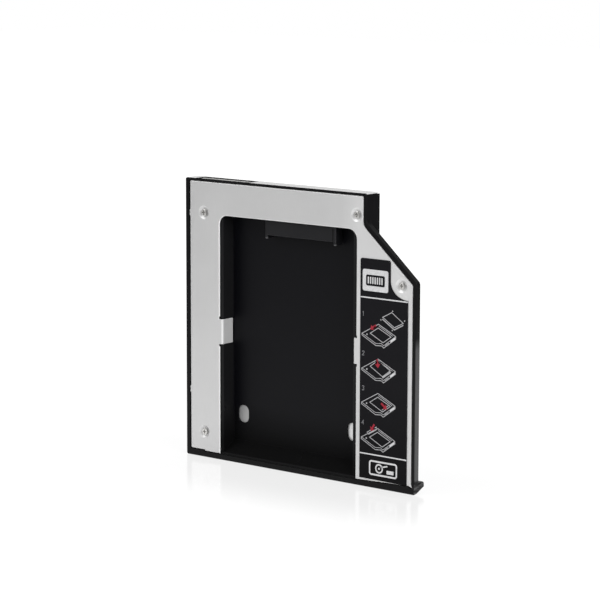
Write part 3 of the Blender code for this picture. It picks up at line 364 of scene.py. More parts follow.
def plated_metal(name, colour, dark, roughness, edge_radius, ring_scale, shaded_rim_from=NO_SHADED_RIM):
    """Small plated part: turning rings, painted shade in recesses and along the rim, painted highlights on
    edges.
    """
    material, tree, shader = new_material(name)
    where = millimetres(tree)
    centred = vector_maths(tree, "SUBTRACT", {0: own_box(tree), 1: (0.5, 0.0, 0.5)}).outputs["Vector"]
    across, depth, along = parts_of(tree, centred)
    radius = length_of(tree, across, along)
    rings = maths(tree, "SINE", times(tree, radius, ring_scale))
    grime = noise(tree, where, GRIME_SCALE, detail=4.0, roughness=0.6)
    rounded, edge = soft_edge(tree, edge_radius)
    recess_shade = times(tree, ramp(tree, depth, RECESS_START, RECESS_FULL),
                 fall(tree, radius, RECESS_RADIUS, RECESS_SOFTNESS))
    face = blend(tree, remap(tree, grime, GRIME_FROM, GRIME_TO, 0.0, GRIME_DARK), colour, dark)
    # Painted shade in the recess
    face = blend(tree, times(tree, recess_shade, RECESS_SHADE), face, dark)
    # Painted shadow along the rim
    face = blend(tree, rise(tree, radius, shaded_rim_from, RECESS_SOFTNESS, RIM_SHADE), face, dark)
    # Painted highlight on the edges
    face = blend(tree, times(tree, edge, PLATED_HIGHLIGHT_SHARE), face, lighter(colour, PLATED_HIGHLIGHT_GAIN))
    rough = spread(tree, grime, roughness - PLATED_SMOOTHER, roughness + PLATED_ROUGHER)
    height = plus(tree, times(tree, rings, RING_HEIGHT), grime)
    feed(tree, shader, Base_Color=face, Metallic=1.0, Roughness=rough,
         Normal=bump(tree, height, PLATED_RELIEF, rounded))
    return material


# Moulded plastic

PLASTIC_RELIEF = 0.000006
FLOW_STRETCH = (0.05, 0.2, 0.02)
SPECK_SCALE = 3.1
SPECK_FROM = 0.35
SPECK_TO = 0.6
RUB_AND_HIGHLIGHT_LEAST = 0.35
RUB_SMOOTHER = 0.08
DULL_GAIN = 0.8
BRIGHT_GAIN = 1.25
BRIGHT_FROM = 0.55
BRIGHT_TO = 0.75
BRIGHT_SHARE = 0.5
PLASTIC_SMOOTHER = 0.04
PLASTIC_ROUGHER = 0.07


def flow_marks(tree, where):
    return noise(tree, stretched(tree, where, *FLOW_STRETCH), detail=3.0)


def moulded_plastic(name, colour, edge_highlight_colour, roughness, shine, grain_size, edge_radius, details=None):
    """Moulded plastic: spark-eroded grain, faint flow marks, edges rubbed a little smoother and given a
    painted highlight.
    """
    material, tree, shader = new_material(name)
    where = millimetres(tree)
    texture = noise(tree, where, 1.0 / grain_size, detail=4.0, roughness=0.62)
    specks = noise(tree, where, SPECK_SCALE)
    rounded, edge = soft_edge(tree, edge_radius)
    rub_and_highlight = times(tree, edge, remap(tree, specks, SPECK_FROM, SPECK_TO, RUB_AND_HIGHLIGHT_LEAST, 1.0))
    bright = lighter(colour, BRIGHT_GAIN)
    flow = spread(tree, flow_marks(tree, where), 0.0, 1.0)
    body = blend(tree, flow, lighter(colour, DULL_GAIN), bright)
    body = blend(tree, remap(tree, texture, BRIGHT_FROM, BRIGHT_TO, 0.0, BRIGHT_SHARE), body, bright)
    rough = minus(tree, spread(tree, texture, roughness - PLASTIC_SMOOTHER, roughness + PLASTIC_ROUGHER),
                  times(tree, rub_and_highlight, RUB_SMOOTHER))
    if details:
        body, rough, rub_and_highlight = details(tree, where, body, rough, rub_and_highlight)
    # Painted highlight on the edges
    body = blend(tree, rub_and_highlight, body, edge_highlight_colour)
    feed(tree, shader, Base_Color=body, Roughness=rough,
         Normal=bump(tree, texture, PLASTIC_RELIEF, rounded))
    shader.inputs["Specular IOR Level"].default_value = shine
    return material


# The drive bay is painted blacker than the outside as shade, its walls painted lighter where the right lamp
# falls, and its front slope painted darkest as a shadow and made rougher
BAY_MIDDLE = 57.8
BAY_HALF_WIDTH = 38.2
BAY_FRONT = 3.0
BAY_REAR = 123.2
BAY_TOP = 0.7
BAY_WALL_TO = 7.5
BAY_WALL_START = 9.0
BAY_WALL_FULL = 14.3
BAY_SLOPE_TOP = 8.3
BAY_SHADOW_TO = 26.0
BAY_SOFTNESS = 0.6
BAY_RUB_AND_HIGHLIGHT = 0.35
BAY_ROUGHER = 0.1
SLOPE_ROUGHER = 0.4
BAY_FLOOR_SHADE_COLOUR = shade(0.0024, 0.0024, 0.0036)
BAY_WALL_LIT_COLOUR = shade(0.0078, 0.0078, 0.0084)

# The rim around the rear opening is rough
REAR_RIM = 125.7
RIM_ROUGHER = 0.6

# A painted reflection lightens the outer side of the wing along its front half
WING_SIDE = 127.7
SHEEN_FROM = 5.4
SHEEN_TO = 62.0
SHEEN_FLOW_FROM = 0.25
SHEEN_FLOW_TO = 0.6
SHEEN_LEAST = 0.75
SHEEN_COLOUR = shade(0.069, 0.069, 0.07)

# The front bar's free end has painted streaks of highlight
FOOT_SIDE = 127.6
FOOT_TOP = 4.9
STREAK_STRETCH = (1.0, 0.16, 0.9)
STREAK_FROM = 0.42
STREAK_TO = 0.58


def inside_bay(tree, u, v, w):
    """A mask that is 1 on the deeper faces of the drive bay and 0 outside it."""
    from_middle = maths(tree, "ABSOLUTE", minus(tree, u, BAY_MIDDLE))
    return times(
        tree,
        fall(tree, from_middle, BAY_HALF_WIDTH, BAY_SOFTNESS),
        rise(tree, w, BAY_TOP, 0.3),
        fall(tree, v, BAY_REAR, BAY_SOFTNESS),
        rise(tree, v, BAY_FRONT, BAY_SOFTNESS),
    )


def on_wing_side(tree, u, v):
    """A mask that is 1 on the front half of the wing's outer side."""
    return times(tree, rise(tree, u, WING_SIDE, 0.2), rise(tree, v, SHEEN_FROM, 1.0),
                 fall(tree, v, SHEEN_TO, 5.0))


def frame_details(tree, where, body, rough, rub_and_highlight):
    u, v, w = places(tree, where)
    inside = inside_bay(tree, u, v, w)
    # Painted shade on the bay's floor and painted light on its walls
    lit_wall = times(tree, fall(tree, w, BAY_WALL_TO, 0.4), ramp(tree, v, BAY_WALL_START, BAY_WALL_FULL))
    body = blend(tree, inside, body, blend(tree, lit_wall, BAY_FLOOR_SHADE_COLOUR, BAY_WALL_LIT_COLOUR))
    # Painted shadow darkening towards the front slope
    shadowed_slope = times(tree, inside, ramp(tree, v, BAY_SHADOW_TO, BAY_SLOPE_TOP))
    body = blend(tree, shadowed_slope, body, NEAR_BLACK)
    rough = plus(tree, rough, times(tree, inside, BAY_ROUGHER))
    rough = plus(tree, rough, times(tree, shadowed_slope, SLOPE_ROUGHER))
    rough = plus(tree, rough, rise(tree, v, REAR_RIM, 0.2, RIM_ROUGHER))
    # Inside the bay the rubbing and the painted edge highlight are weaker
    rub_and_highlight = times(tree, rub_and_highlight, share(tree, inside, 1.0, BAY_RUB_AND_HIGHLIGHT))
    # Painted reflection on the front half of the wing's outer side
    wing_sheen = times(tree, on_wing_side(tree, u, v),
                    remap(tree, flow_marks(tree, where), SHEEN_FLOW_FROM, SHEEN_FLOW_TO, SHEEN_LEAST, 1.0))
    body = blend(tree, wing_sheen, body, SHEEN_COLOUR)
    # Painted highlight streaks on the front bar's free end
    streaks = noise(tree, stretched(tree, where, *STREAK_STRETCH))
    foot_highlight = times(tree, rise(tree, u, FOOT_SIDE, 0.1), fall(tree, v, FOOT_TOP, 0.3),
                 ramp(tree, streaks, STREAK_FROM, STREAK_TO))
    return blend(tree, foot_highlight, body, SHEEN_COLOUR), rough, rub_and_highlight


# The horns are lighter at their tips, and the painted shade of a groove sets the right one off
HORN_TIP = 101.9
HORN_TIP_LENGTH = 0.9
HORN_TIP_DEPTH = 3.0
HORN_TIP_SHARE = 0.9
HORN_COLOUR = shade(0.16, 0.16, 0.165)
GROOVE = 81.6
GROOVE_WIDTH = 0.5
GROOVE_REAR = 109.0
GROOVE_ROUGHER = 0.5
GROOVE_SHADE_COLOUR = shade(0.0008, 0.0008, 0.0009)


def receptacle_details(tree, where, body, rough, rub_and_highlight):
    u, v, w = places(tree, where)
    tip = times(tree, fall(tree, w, HORN_TIP_DEPTH, 0.7), fall(tree, v, HORN_TIP, HORN_TIP_LENGTH, HORN_TIP_SHARE))
    body = blend(tree, tip, body, HORN_COLOUR)
    # Painted shade of a groove beside the right horn
    from_groove = maths(tree, "ABSOLUTE", minus(tree, u, GROOVE))
    groove_shade = times(tree, fall(tree, from_groove, GROOVE_WIDTH / 2, 0.1), fall(tree, v, GROOVE_REAR, 0.3))
    body = blend(tree, groove_shade, body, GROOVE_SHADE_COLOUR)
    return body, plus(tree, rough, times(tree, groove_shade, GROOVE_ROUGHER)), rub_and_highlight


# Label film and inks

FILM_RELIEF = 0.000006
FILM_EDGE = 0.05
FILM_HIGHLIGHT_SHARE = 0.35
FILM_SMOOTHER = 0.03
FILM_ROUGHER = 0.04
MOTTLE_SCALE = 2.2
WAVE_SCALE = 0.09
WAVE_ROUGHNESS = 0.02
WAVE_HEIGHT = 3.0
FINE_SCALE = 14.0
FINE_HEIGHT = 0.2
FILM_DARK_GAIN = 0.84
FILM_LIGHT_GAIN = 1.14

# The film looks darker towards the front bar
FILM_DARK_FROM = 5.0
FILM_DARK_TO = 45.0


def printed_film(name, colour, roughness, shine, metallic=0.0, front_dark=0.0):
    """Film or ink of the label: fine mottle and orange peel, and a hint of painted highlight on its edges."""
    material, tree, shader = new_material(name)
    where = millimetres(tree)
    mottle = noise(tree, where, MOTTLE_SCALE, detail=4.0, roughness=0.6)
    wave = noise(tree, where, WAVE_SCALE)
    fine = noise(tree, where, FINE_SCALE)
    rounded, edge = soft_edge(tree, FILM_EDGE)
    light = lighter(colour, FILM_LIGHT_GAIN)
    body = blend(tree, spread(tree, mottle, 0.0, 1.0), lighter(colour, FILM_DARK_GAIN), light)
    # Painted highlight on the edges
    body = blend(tree, times(tree, edge, FILM_HIGHLIGHT_SHARE), body, light)
    if front_dark:
        v = places(tree, where)[1]
        dark = remap(tree, v, FILM_DARK_TO, FILM_DARK_FROM, 0.0, front_dark)
        body = blend(tree, dark, body, NEAR_BLACK)
    rough = plus(tree, spread(tree, mottle, roughness - FILM_SMOOTHER, roughness + FILM_ROUGHER),
                 around(tree, wave, 0.0, WAVE_ROUGHNESS))
    height = plus(tree, times(tree, wave, WAVE_HEIGHT), times(tree, fine, FINE_HEIGHT))
    feed(tree, shader, Base_Color=body, Roughness=rough,
         Normal=bump(tree, height, FILM_RELIEF, rounded))
    shader.inputs["Specular IOR Level"].default_value = shine
    shader.inputs["Metallic"].default_value = metallic
    return material


# Circuit board and chips

BOARD_RELIEF = 0.00003
BOARD_EDGE = 0.12
BOARD_SMOOTH = 0.2
BOARD_ROUGH = 0.34
WEAVE_SCALE = 3.0
WARP_SCALE = 0.16
TRACE_STEP = 0.08
TRACE_SHIFT = 9.0
TRACE_TURNS = 5.2
TRACE_FROM = 0.25
TRACE_TO = 0.5
PATCH_SCALE = 0.12
PATCH_FROM = 0.46
PATCH_TO = 0.5
FIBRE_SHARE = 0.7
MASK_DARK = shade(0.006, 0.075, 0.03)
MASK_LIGHT = shade(0.009, 0.1, 0.04)
OVER_COPPER = shade(0.02, 0.2, 0.075)
FIBRE = shade(0.33, 0.36, 0.2)


def board_laminate():
    """Solder mask over copper traces, with a pale fibre edge."""
    material, tree, shader = new_material("board_laminate_look")
    where = millimetres(tree)
    v = places(tree, where)[1]
    warped = noise(tree, where, WARP_SCALE, detail=1.0)
    bend = times(tree, maths(tree, "SNAP", warped, TRACE_STEP), TRACE_SHIFT)
    line = maths(tree, "SINE", times(tree, plus(tree, v, bend), TRACE_TURNS))
    patch = ramp(tree, noise(tree, where, PATCH_SCALE), PATCH_FROM, PATCH_TO)
    copper = times(tree, ramp(tree, line, TRACE_FROM, TRACE_TO), patch)
    weave = noise(tree, where, WEAVE_SCALE, detail=3.0, roughness=0.6)
    rounded, edge = soft_edge(tree, BOARD_EDGE)
    body = blend(tree, spread(tree, weave, 0.0, 1.0), MASK_DARK, MASK_LIGHT)
    body = blend(tree, copper, body, OVER_COPPER)
    body = blend(tree, times(tree, edge, FIBRE_SHARE), body, FIBRE)
    feed(tree, shader, Base_Color=body, Roughness=spread(tree, weave, BOARD_SMOOTH, BOARD_ROUGH),
         Normal=bump(tree, copper, BOARD_RELIEF, rounded))
    return material


CHIP_RELIEF = 0.000008
CHIP_EDGE = 0.1
CHIP_SPECKS = 6.0
CHIP_DARK = 0.8
CHIP_LIGHT = 1.2
CHIP_SMOOTH = 0.3
CHIP_ROUGH = 0.5
CAP_SOFTNESS = 0.01
TIN_DARK = grey(0.5)
TIN_LIGHT = grey(0.7)


def chip_with_caps(name, colour, cap_share):
    """Small chip part: ceramic body with tinned end caps."""
    material, tree, shader = new_material(name)
    across = parts_of(tree, own_box(tree))[0]
    from_middle = maths(tree, "ABSOLUTE", minus(tree, across, 0.5))
    cap = rise(tree, from_middle, 0.5 - cap_share, CAP_SOFTNESS)
    speck = noise(tree, millimetres(tree), CHIP_SPECKS, detail=4.0, roughness=0.6)
    rounded = soft_edge(tree, CHIP_EDGE)[0]
    mottled = spread(tree, speck, 0.0, 1.0)
    body = blend(tree, mottled, lighter(colour, CHIP_DARK), lighter(colour, CHIP_LIGHT))
    body = blend(tree, cap, body, blend(tree, mottled, TIN_DARK, TIN_LIGHT))
    feed(tree, shader, Base_Color=body, Metallic=cap, Roughness=spread(tree, speck, CHIP_SMOOTH, CHIP_ROUGH),
         Normal=bump(tree, speck, CHIP_RELIEF, rounded))
    return material


# The looks of the pieces

cover_look = sheet_metal("cover_sheet_look", level=0.625, edge_highlight_level=0.78, grain_along=True,
                         edge_radius=0.5, arm_level=0.7, rubbed_level=0.56)
bottom_look = sheet_metal("bottom_sheet_look", level=0.66, edge_highlight_level=0.92, grain_along=False,
                          edge_radius=0.3, inner_shade_level=0.52)
frame_look = moulded_plastic(
    "frame_plastic_look", colour=shade(0.003, 0.003, 0.0033), edge_highlight_colour=shade(0.016, 0.016, 0.017),
    roughness=0.3, shine=0.12, grain_size=0.22, edge_radius=0.2, details=frame_details)
receptacle_look = moulded_plastic(
    "receptacle_plastic_look", colour=shade(0.0075, 0.0075, 0.0088), edge_highlight_colour=shade(0.12, 0.12, 0.125),
    roughness=0.34, shine=0.22, grain_size=0.16, edge_radius=0.14, details=receptacle_details)
plug_look = moulded_plastic(
    "plug_plastic_look", colour=shade(0.5, 0.5, 0.49), edge_highlight_colour=shade(0.66, 0.66, 0.65),
    roughness=0.42, shine=0.4, grain_size=0.2, edge_radius=0.1)
film_look = printed_film("label_film_look", shade(0.0055, 0.0053, 0.0068), roughness=0.42, shine=0.09,
                         front_dark=0.75)
silver_ink = printed_film("label_silver_ink_look", shade(0.62, 0.62, 0.63), roughness=0.42, shine=0.5,
                          metallic=0.35)
line_ink = printed_film("label_line_ink_look", shade(0.38, 0.38, 0.39), roughness=0.5, shine=0.3)
number_ink = printed_film("label_number_ink_look", shade(0.2, 0.2, 0.21), roughness=0.5, shine=0.3)
red_ink = printed_film("label_red_ink_look", shade(0.29, 0.011, 0.025), roughness=0.5, shine=0.3)
screw_look = plated_metal(
    "screw_nickel_look", colour=shade(0.82, 0.81, 0.79), dark=shade(0.2, 0.195, 0.185),
    roughness=0.3, edge_radius=0.08, ring_scale=150.0, shaded_rim_from=0.41)
contact_look = plated_metal(
    "contact_gold_look", colour=shade(0.83, 0.6, 0.24), dark=shade(0.6, 0.4, 0.15),
    roughness=0.26, edge_radius=0.04, ring_scale=20.0)
board_look = board_laminate()
capacitor_look = chip_with_caps("capacitor_ceramic_look", shade(0.42, 0.3, 0.19), cap_share=0.2)
resistor_look = chip_with_caps("resistor_ceramic_look", shade(0.02, 0.02, 0.022), cap_share=0.18)

# Each look with the start of its pieces' names, the longer starts first
LOOKS = (
    ("frame", frame_look),
    ("top_cover", cover_look),
    ("bottom_cover", bottom_look),
    ("instruction_label", film_look),
    ("adapter_board", board_look),
    ("drive_receptacle", receptacle_look),
    ("host_plug", plug_look),
    ("cover_screw", screw_look),
    ("bottom_screw", screw_look),
    ("board_screw", screw_look),
    ("board_capacitor", capacitor_look),
    ("board_resistor", resistor_look),
    ("drive_", contact_look),
    ("host_", contact_look),
)

for name, part in nodes.items():
    part.data.materials.clear()
    part.data.materials.append(next(look for start, look in LOOKS if name.startswith(start)))


# Print on the label

LABEL_FACE = 0.05
INK = 0.015
SHARPEST_MITRE = 0.45
label_low, label_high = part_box("instruction_label")
LABEL_LEFT = label_low.x / MM + MIDDLE_U
LABEL_RIGHT = label_high.x / MM + MIDDLE_U


class Print:
    """Thin raised print. Its shapes are closed loops or strokes, given in millimetres on the label."""

    def __init__(self, layer=0):
        self.work = bmesh.new()
        self.back = LABEL_FACE - layer * INK
        self.front = self.back - INK

    def fill(self, loop):
        front = [self.work.verts.new(place(u, v, self.front)) for u, v in loop]
        back = [self.work.verts.new(place(u, v, self.back)) for u, v in loop]
        self.work.faces.new(front)
        self.work.faces.new(list(reversed(back)))
        count = len(loop)
        for i in range(count):
            j = (i + 1) % count
            self.work.faces.new((front[j], front[i], back[i], back[j]))

    def stroke(self, path, width, closed=False):
        left, right = offset_path(path, width / 2, closed)
        rows = []
        for a, b in zip(left, right):
            corners = ((a, self.front), (b, self.front), (b, self.back), (a, self.back))
            rows.append([self.work.verts.new(place(side[0], side[1], w)) for side, w in corners])
        count = len(rows)
        for i in range(count if closed else count - 1):
            one = rows[i]
            two = rows[(i + 1) % count]
            for k in range(4):
                m = (k + 1) % 4
                self.work.faces.new((one[k], one[m], two[m], two[k]))
        if not closed:
            self.work.faces.new(list(reversed(rows[0])))
            self.work.faces.new(rows[-1])

    def finish(self, name, look):
        bmesh.ops.triangulate(self.work, faces=self.work.faces[:])
        bmesh.ops.recalc_face_normals(self.work, faces=self.work.faces[:])
        mesh = bpy.data.meshes.new(name)
        self.work.to_mesh(mesh)
        self.work.free()
        piece = bpy.data.objects.new(name, mesh)
        bpy.context.scene.collection.objects.link(piece)
        piece.data.materials.append(look)
        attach(piece, "root")


def offset_path(path, half, closed):
    """The two sides of a stroke with mitred corners."""
    count = len(path)
    left = []
    right = []
    for i in range(count):
        here = Vector(path[i])
        before = Vector(path[i - 1]) if closed or i > 0 else None
        after = Vector(path[(i + 1) % count]) if closed or i < count - 1 else None
        one = (here - before).normalized() if before is not None else None
        two = (after - here).normalized() if after is not None else None
        one = one if one is not None else two
        two = two if two is not None else one
        side_one = Vector((-one.y, one.x))
        side_two = Vector((-two.y, two.x))
        mitre = (side_one + side_two).normalized()
        reach = half / max(SHARPEST_MITRE, mitre.dot(side_one))
        left.append(here + mitre * reach)
        right.append(here - mitre * reach)
    return left, right


def ring(centre_u, centre_v, radius, steps=20):
    loop = []
    for i in range(steps):
        turn = 2 * math.pi * i / steps
        loop.append((centre_u + radius * math.cos(turn), centre_v + radius * math.sin(turn)))
    return loop


def box(left, front, right, rear):
    return [(left, front), (right, front), (right, rear), (left, rear)]


def rounded_box(left, front, right, rear, radius, steps=5):
    loop = []
    for centre_u, centre_v, start in (
        (right - radius, rear - radius, 0),
        (left + radius, rear - radius, 90),
        (left + radius, front + radius, 180),
        (right - radius, front + radius, 270),
    ):
        for i in range(steps + 1):
            turn = math.radians(start + 90 * i / steps)
            loop.append((centre_u + radius * math.cos(turn), centre_v + radius * math.sin(turn)))
    return loop


def moved(path, u, v):
    return [(a + u, b + v) for a, b in path]


def turned(path, degrees, size):
    turn = math.radians(degrees)
    c = math.cos(turn) * size
    s = math.sin(turn) * size
    return [(a * c - b * s, a * s + b * c) for a, b in path]


# Lines that part the label's three fields
RULE = 0.55
RULE_MARGIN = 0.1
RULE_PLACES = (82.1, 14.5)

rules = Print()
for height in RULE_PLACES:
    rules.fill(box(LABEL_LEFT + RULE_MARGIN, height - RULE / 2, LABEL_RIGHT - RULE_MARGIN, height + RULE / 2))
rules.finish("label_rules", silver_ink)

# A plain plug symbol in the upper field
BADGE = (99.8, 84.9, 113.3, 94.2)
BADGE_RADIUS = 0.9
PLUG = (101.6, 87.2, 111.5, 91.9)
PLUG_RADIUS = 0.7
TEETH = 7
TOOTH_LEFT = 102.5
TOOTH_PITCH = 1.2
TOOTH_WIDTH = 0.65
TOOTH_FRONT = 88.1
TOOTH_REAR = 91.0

badge = Print()
badge.fill(rounded_box(*BADGE, BADGE_RADIUS))
badge.finish("label_badge", silver_ink)
symbol = Print(layer=1)
symbol.fill(rounded_box(*PLUG, PLUG_RADIUS))
symbol.finish("label_badge_plug", film_look)
teeth = Print(layer=2)
for i in range(TEETH):
    start = TOOTH_LEFT + i * TOOTH_PITCH
    teeth.fill(box(start, TOOTH_FRONT, start + TOOTH_WIDTH, TOOTH_REAR))
teeth.finish("label_badge_contacts", silver_ink)

# A plain drive symbol in the lower field
DRIVE = (104.2, 5.9, 118.4, 11.7)
DRIVE_RADIUS = 0.9
DRIVE_LINE = 0.75
DISC_CENTRE = (109.2, 8.8)
DISC_RADIUS = 1.75
DISC_LINE = 0.65
HUB_RADIUS = 0.5
HUB_STEPS = 12
READ_ARM = [(110.2, 9.5), (113.6, 10.4)]
READ_ARM_LINE = 0.6
DRIVE_CHIP = (113.2, 7.0, 116.9, 8.6)
DRIVE_CHIP_RADIUS = 0.3

drive = Print()
drive.stroke(rounded_box(*DRIVE, DRIVE_RADIUS), DRIVE_LINE, closed=True)
drive.stroke(ring(*DISC_CENTRE, DISC_RADIUS), DISC_LINE, closed=True)
drive.fill(ring(*DISC_CENTRE, HUB_RADIUS, HUB_STEPS))
drive.stroke(READ_ARM, READ_ARM_LINE)
drive.fill(rounded_box(*DRIVE_CHIP, DRIVE_CHIP_RADIUS))
drive.finish("label_drive_symbol", silver_ink)

# Four steps, each a tray drawn at a slant from its left corner
STEP_LEFT = 99.6
STEP_HEIGHTS = (66.4, 51.4, 36.6, 21.4)
THIN = 0.3
THINNER = 0.24
DASH = 0.27
OUTLINE = [(0.0, 0.0), (8.7, 4.8), (17.8, 0.5), (17.9, -0.6),
           (11.6, -5.1), (10.4, -4.3), (7.4, -4.5), (0.0, -0.7)]
FRONT_EDGE = [(0.2, -0.05), (7.4, -3.6), (10.3, -3.35), (11.5, -4.15), (17.7, 0.4)]
WINDOW = [(4.4, 0.5), (8.6, 3.15), (15.4, 0.0), (11.2, -2.9)]
INNER_LINE = [(9.0, 3.95), (16.3, 0.45)]
SCREW = (2.7, -0.15)
SCREW_RADIUS = 0.38
SCREW_STEPS = 10
END_BLOCK = [(15.1, -2.45), (17.6, -0.75), (17.6, 0.1), (15.1, -1.6)]
END_DASH = [(12.3, -4.1), (14.3, -2.65)]

# What only one of the steps shows
LOOSE_DRIVE = [(110.5, 74.4), (115.3, 76.9), (121.3, 72.9), (116.7, 70.6)]
LOOSE_DRIVE_EDGE = [(110.4, 73.6), (116.7, 69.7), (121.3, 72.1)]
LOOSE_EDGE_LINE = 0.45
LOOSE_SCREWS = ((109.6, 73.2), (115.7, 77.5), (122.0, 74.0), (115.6, 69.3))
LOOSE_SCREW_RADIUS = 0.3
LOOSE_SCREW_STEPS = 8
LYING_DRIVE = [(4.5, 1.3), (8.7, 4.2), (15.1, 0.5), (11.0, -2.5)]
LYING_DRIVE_EDGE = [(11.1, -3.0), (15.3, -0.05)]
LYING_EDGE_LINE = 0.6
SEATED_EDGE = [(10.9, -2.1), (14.3, 0.2)]
STRIP = [(3.1, 2.5), (7.9, 5.3), (8.3, 4.3), (3.8, 1.7)]


def draw_tray(lines, height, lying_drive):
    lines.stroke(moved(OUTLINE, STEP_LEFT, height), THIN, closed=True)
    lines.stroke(moved(FRONT_EDGE, STEP_LEFT, height), THINNER)
    lines.stroke(moved(INNER_LINE, STEP_LEFT, height), THINNER)
    lines.stroke(moved(END_DASH, STEP_LEFT, height), DASH)
    lines.fill(moved(ring(*SCREW, SCREW_RADIUS, SCREW_STEPS), STEP_LEFT, height))
    if lying_drive:
        lines.stroke(moved(LYING_DRIVE, STEP_LEFT, height), THIN, closed=True)
        lines.stroke(moved(LYING_DRIVE_EDGE, STEP_LEFT, height), LYING_EDGE_LINE)
    else:
        lines.stroke(moved(WINDOW, STEP_LEFT, height), THIN, closed=True)


def draw_loose_drive(lines):
    lines.stroke(LOOSE_DRIVE, THIN, closed=True)
    lines.stroke(LOOSE_DRIVE_EDGE, LOOSE_EDGE_LINE)
    for u, v in LOOSE_SCREWS:
        lines.fill(ring(u, v, LOOSE_SCREW_RADIUS, LOOSE_SCREW_STEPS))


for number, height in enumerate(STEP_HEIGHTS, 1):
    lines = Print()
    draw_tray(lines, height, lying_drive=number == 2)
    if number == 1:
        draw_loose_drive(lines)
    if number == 3:
        lines.stroke(moved(SEATED_EDGE, STEP_LEFT, height), THIN)
    if number == 4:
        lines.stroke(moved(STRIP, STEP_LEFT, height), THIN, closed=True)
    lines.finish(f"label_step_{number}_lines", line_ink)
    block = Print(layer=1)
    block.fill(moved(END_BLOCK, STEP_LEFT, height))
    block.finish(f"label_step_{number}_end", silver_ink)

# One arrow for each step: its middle, how far it is turned, and its size
ARROW = [(-0.42, 1.75), (0.42, 1.75), (0.42, -0.2), (1.25, -0.2), (0.0, -1.75), (-1.25, -0.2), (-0.42, -0.2)]
ARROWS = (
    (105.5, 69.6, -58.0, 1.05),
    (108.0, 54.2, 8.0, 1.1),
    (111.6, 36.2, 52.0, 1.1),
    (105.6, 26.2, -30.0, 1.05),
)

for number, (u, v, degrees, size) in enumerate(ARROWS, 1):
    arrow = Print(layer=1)
    arrow.fill(moved(turned(ARROW, degrees, size), u, v))
    arrow.finish(f"label_step_{number}_arrow", red_ink)

# The numbers of the steps, as strokes from each number's lower left corner
DIGIT_LINE = 0.26
DIGITS = (
    [[(0.25, 1.5), (0.6, 1.9), (0.6, 0.0)]],
    [[(0.05, 1.45), (0.2, 1.8), (0.55, 1.92), (0.95, 1.75),
      (1.05, 1.4), (0.9, 1.05), (0.05, 0.08), (1.1, 0.08)]],
    [[(0.05, 1.6), (0.3, 1.87), (0.65, 1.9), (0.98, 1.7), (1.0, 1.35), (0.8, 1.08), (0.45, 1.0)],
     [(0.45, 1.0), (0.85, 0.93), (1.07, 0.65), (1.0, 0.25), (0.65, 0.03), (0.3, 0.03), (0.02, 0.3)]],
    [[(0.85, 0.0), (0.85, 1.9), (0.0, 0.6), (1.15, 0.6)]],
)
DIGIT_PLACES = ((99.7, 74.0), (99.8, 57.0), (99.8, 41.9), (99.8, 27.0))

for number, (strokes, (u, v)) in enumerate(zip(DIGITS, DIGIT_PLACES), 1):
    digit = Print()
    for path in strokes:
        digit.stroke(moved(path, u, v), DIGIT_LINE)
    digit.finish(f"label_number_{number}", number_ink)


# How light the studio is in a direction

STUDIO_LEVEL = 0.38
STUDIO_LIFT = 0.5
STUDIO_DIM = 0.34
BACK_LEFT = (-0.62, 0.77, 0.0)
BACK_RIGHT = (0.62, 0.77, 0.0)


def towards(tree, direction, side):
    agree = vector_maths(tree, "DOT_PRODUCT", {0: direction, 1: side}).outputs["Value"]
    return maths(tree, "MAXIMUM", agree, 0.0)


def studio_level(tree, direction):
    """Lightest at the back left and dim at the back right."""
    lift = times(tree, towards(tree, direction, BACK_LEFT), STUDIO_LIFT)
    dim = times(tree, towards(tree, direction, BACK_RIGHT), STUDIO_DIM)
    return minus(tree, plus(tree, STUDIO_LEVEL, lift), dim)


def seen_in_mirrors(tree, path):
    return maths(tree, "MAXIMUM", path.outputs["Is Glossy Ray"], path.outputs["Is Transmission Ray"])


# Floor, white to the camera and in reflections, with a faint mirror image near the object. Sizes in metres.

FLOOR_REACH = 3.0
FLOOR_DROP = 0.00005
HALF_WIDTH = 0.064
HALF_THICKNESS = 0.0048
REFLECTION = 0.172
REFLECTION_ROUGHNESS = 0.14
FADE_START = 0.02
FADE_END = 0.078
PAPER = 0.12
PAPER_GLOW = 0.91
PAPER_BOUNCE = 0.8

# Far from the object the floor glows a little more, and is as light as the studio behind it in reflections
FAR_START = 0.28
FAR_FULL = 0.5
FAR_GLOW = 0.14


def past(tree, along, half):
    """How far a place lies outside the object's own reach."""
    return maths(tree, "MAXIMUM", minus(tree, maths(tree, "ABSOLUTE", along), half), 0.0)


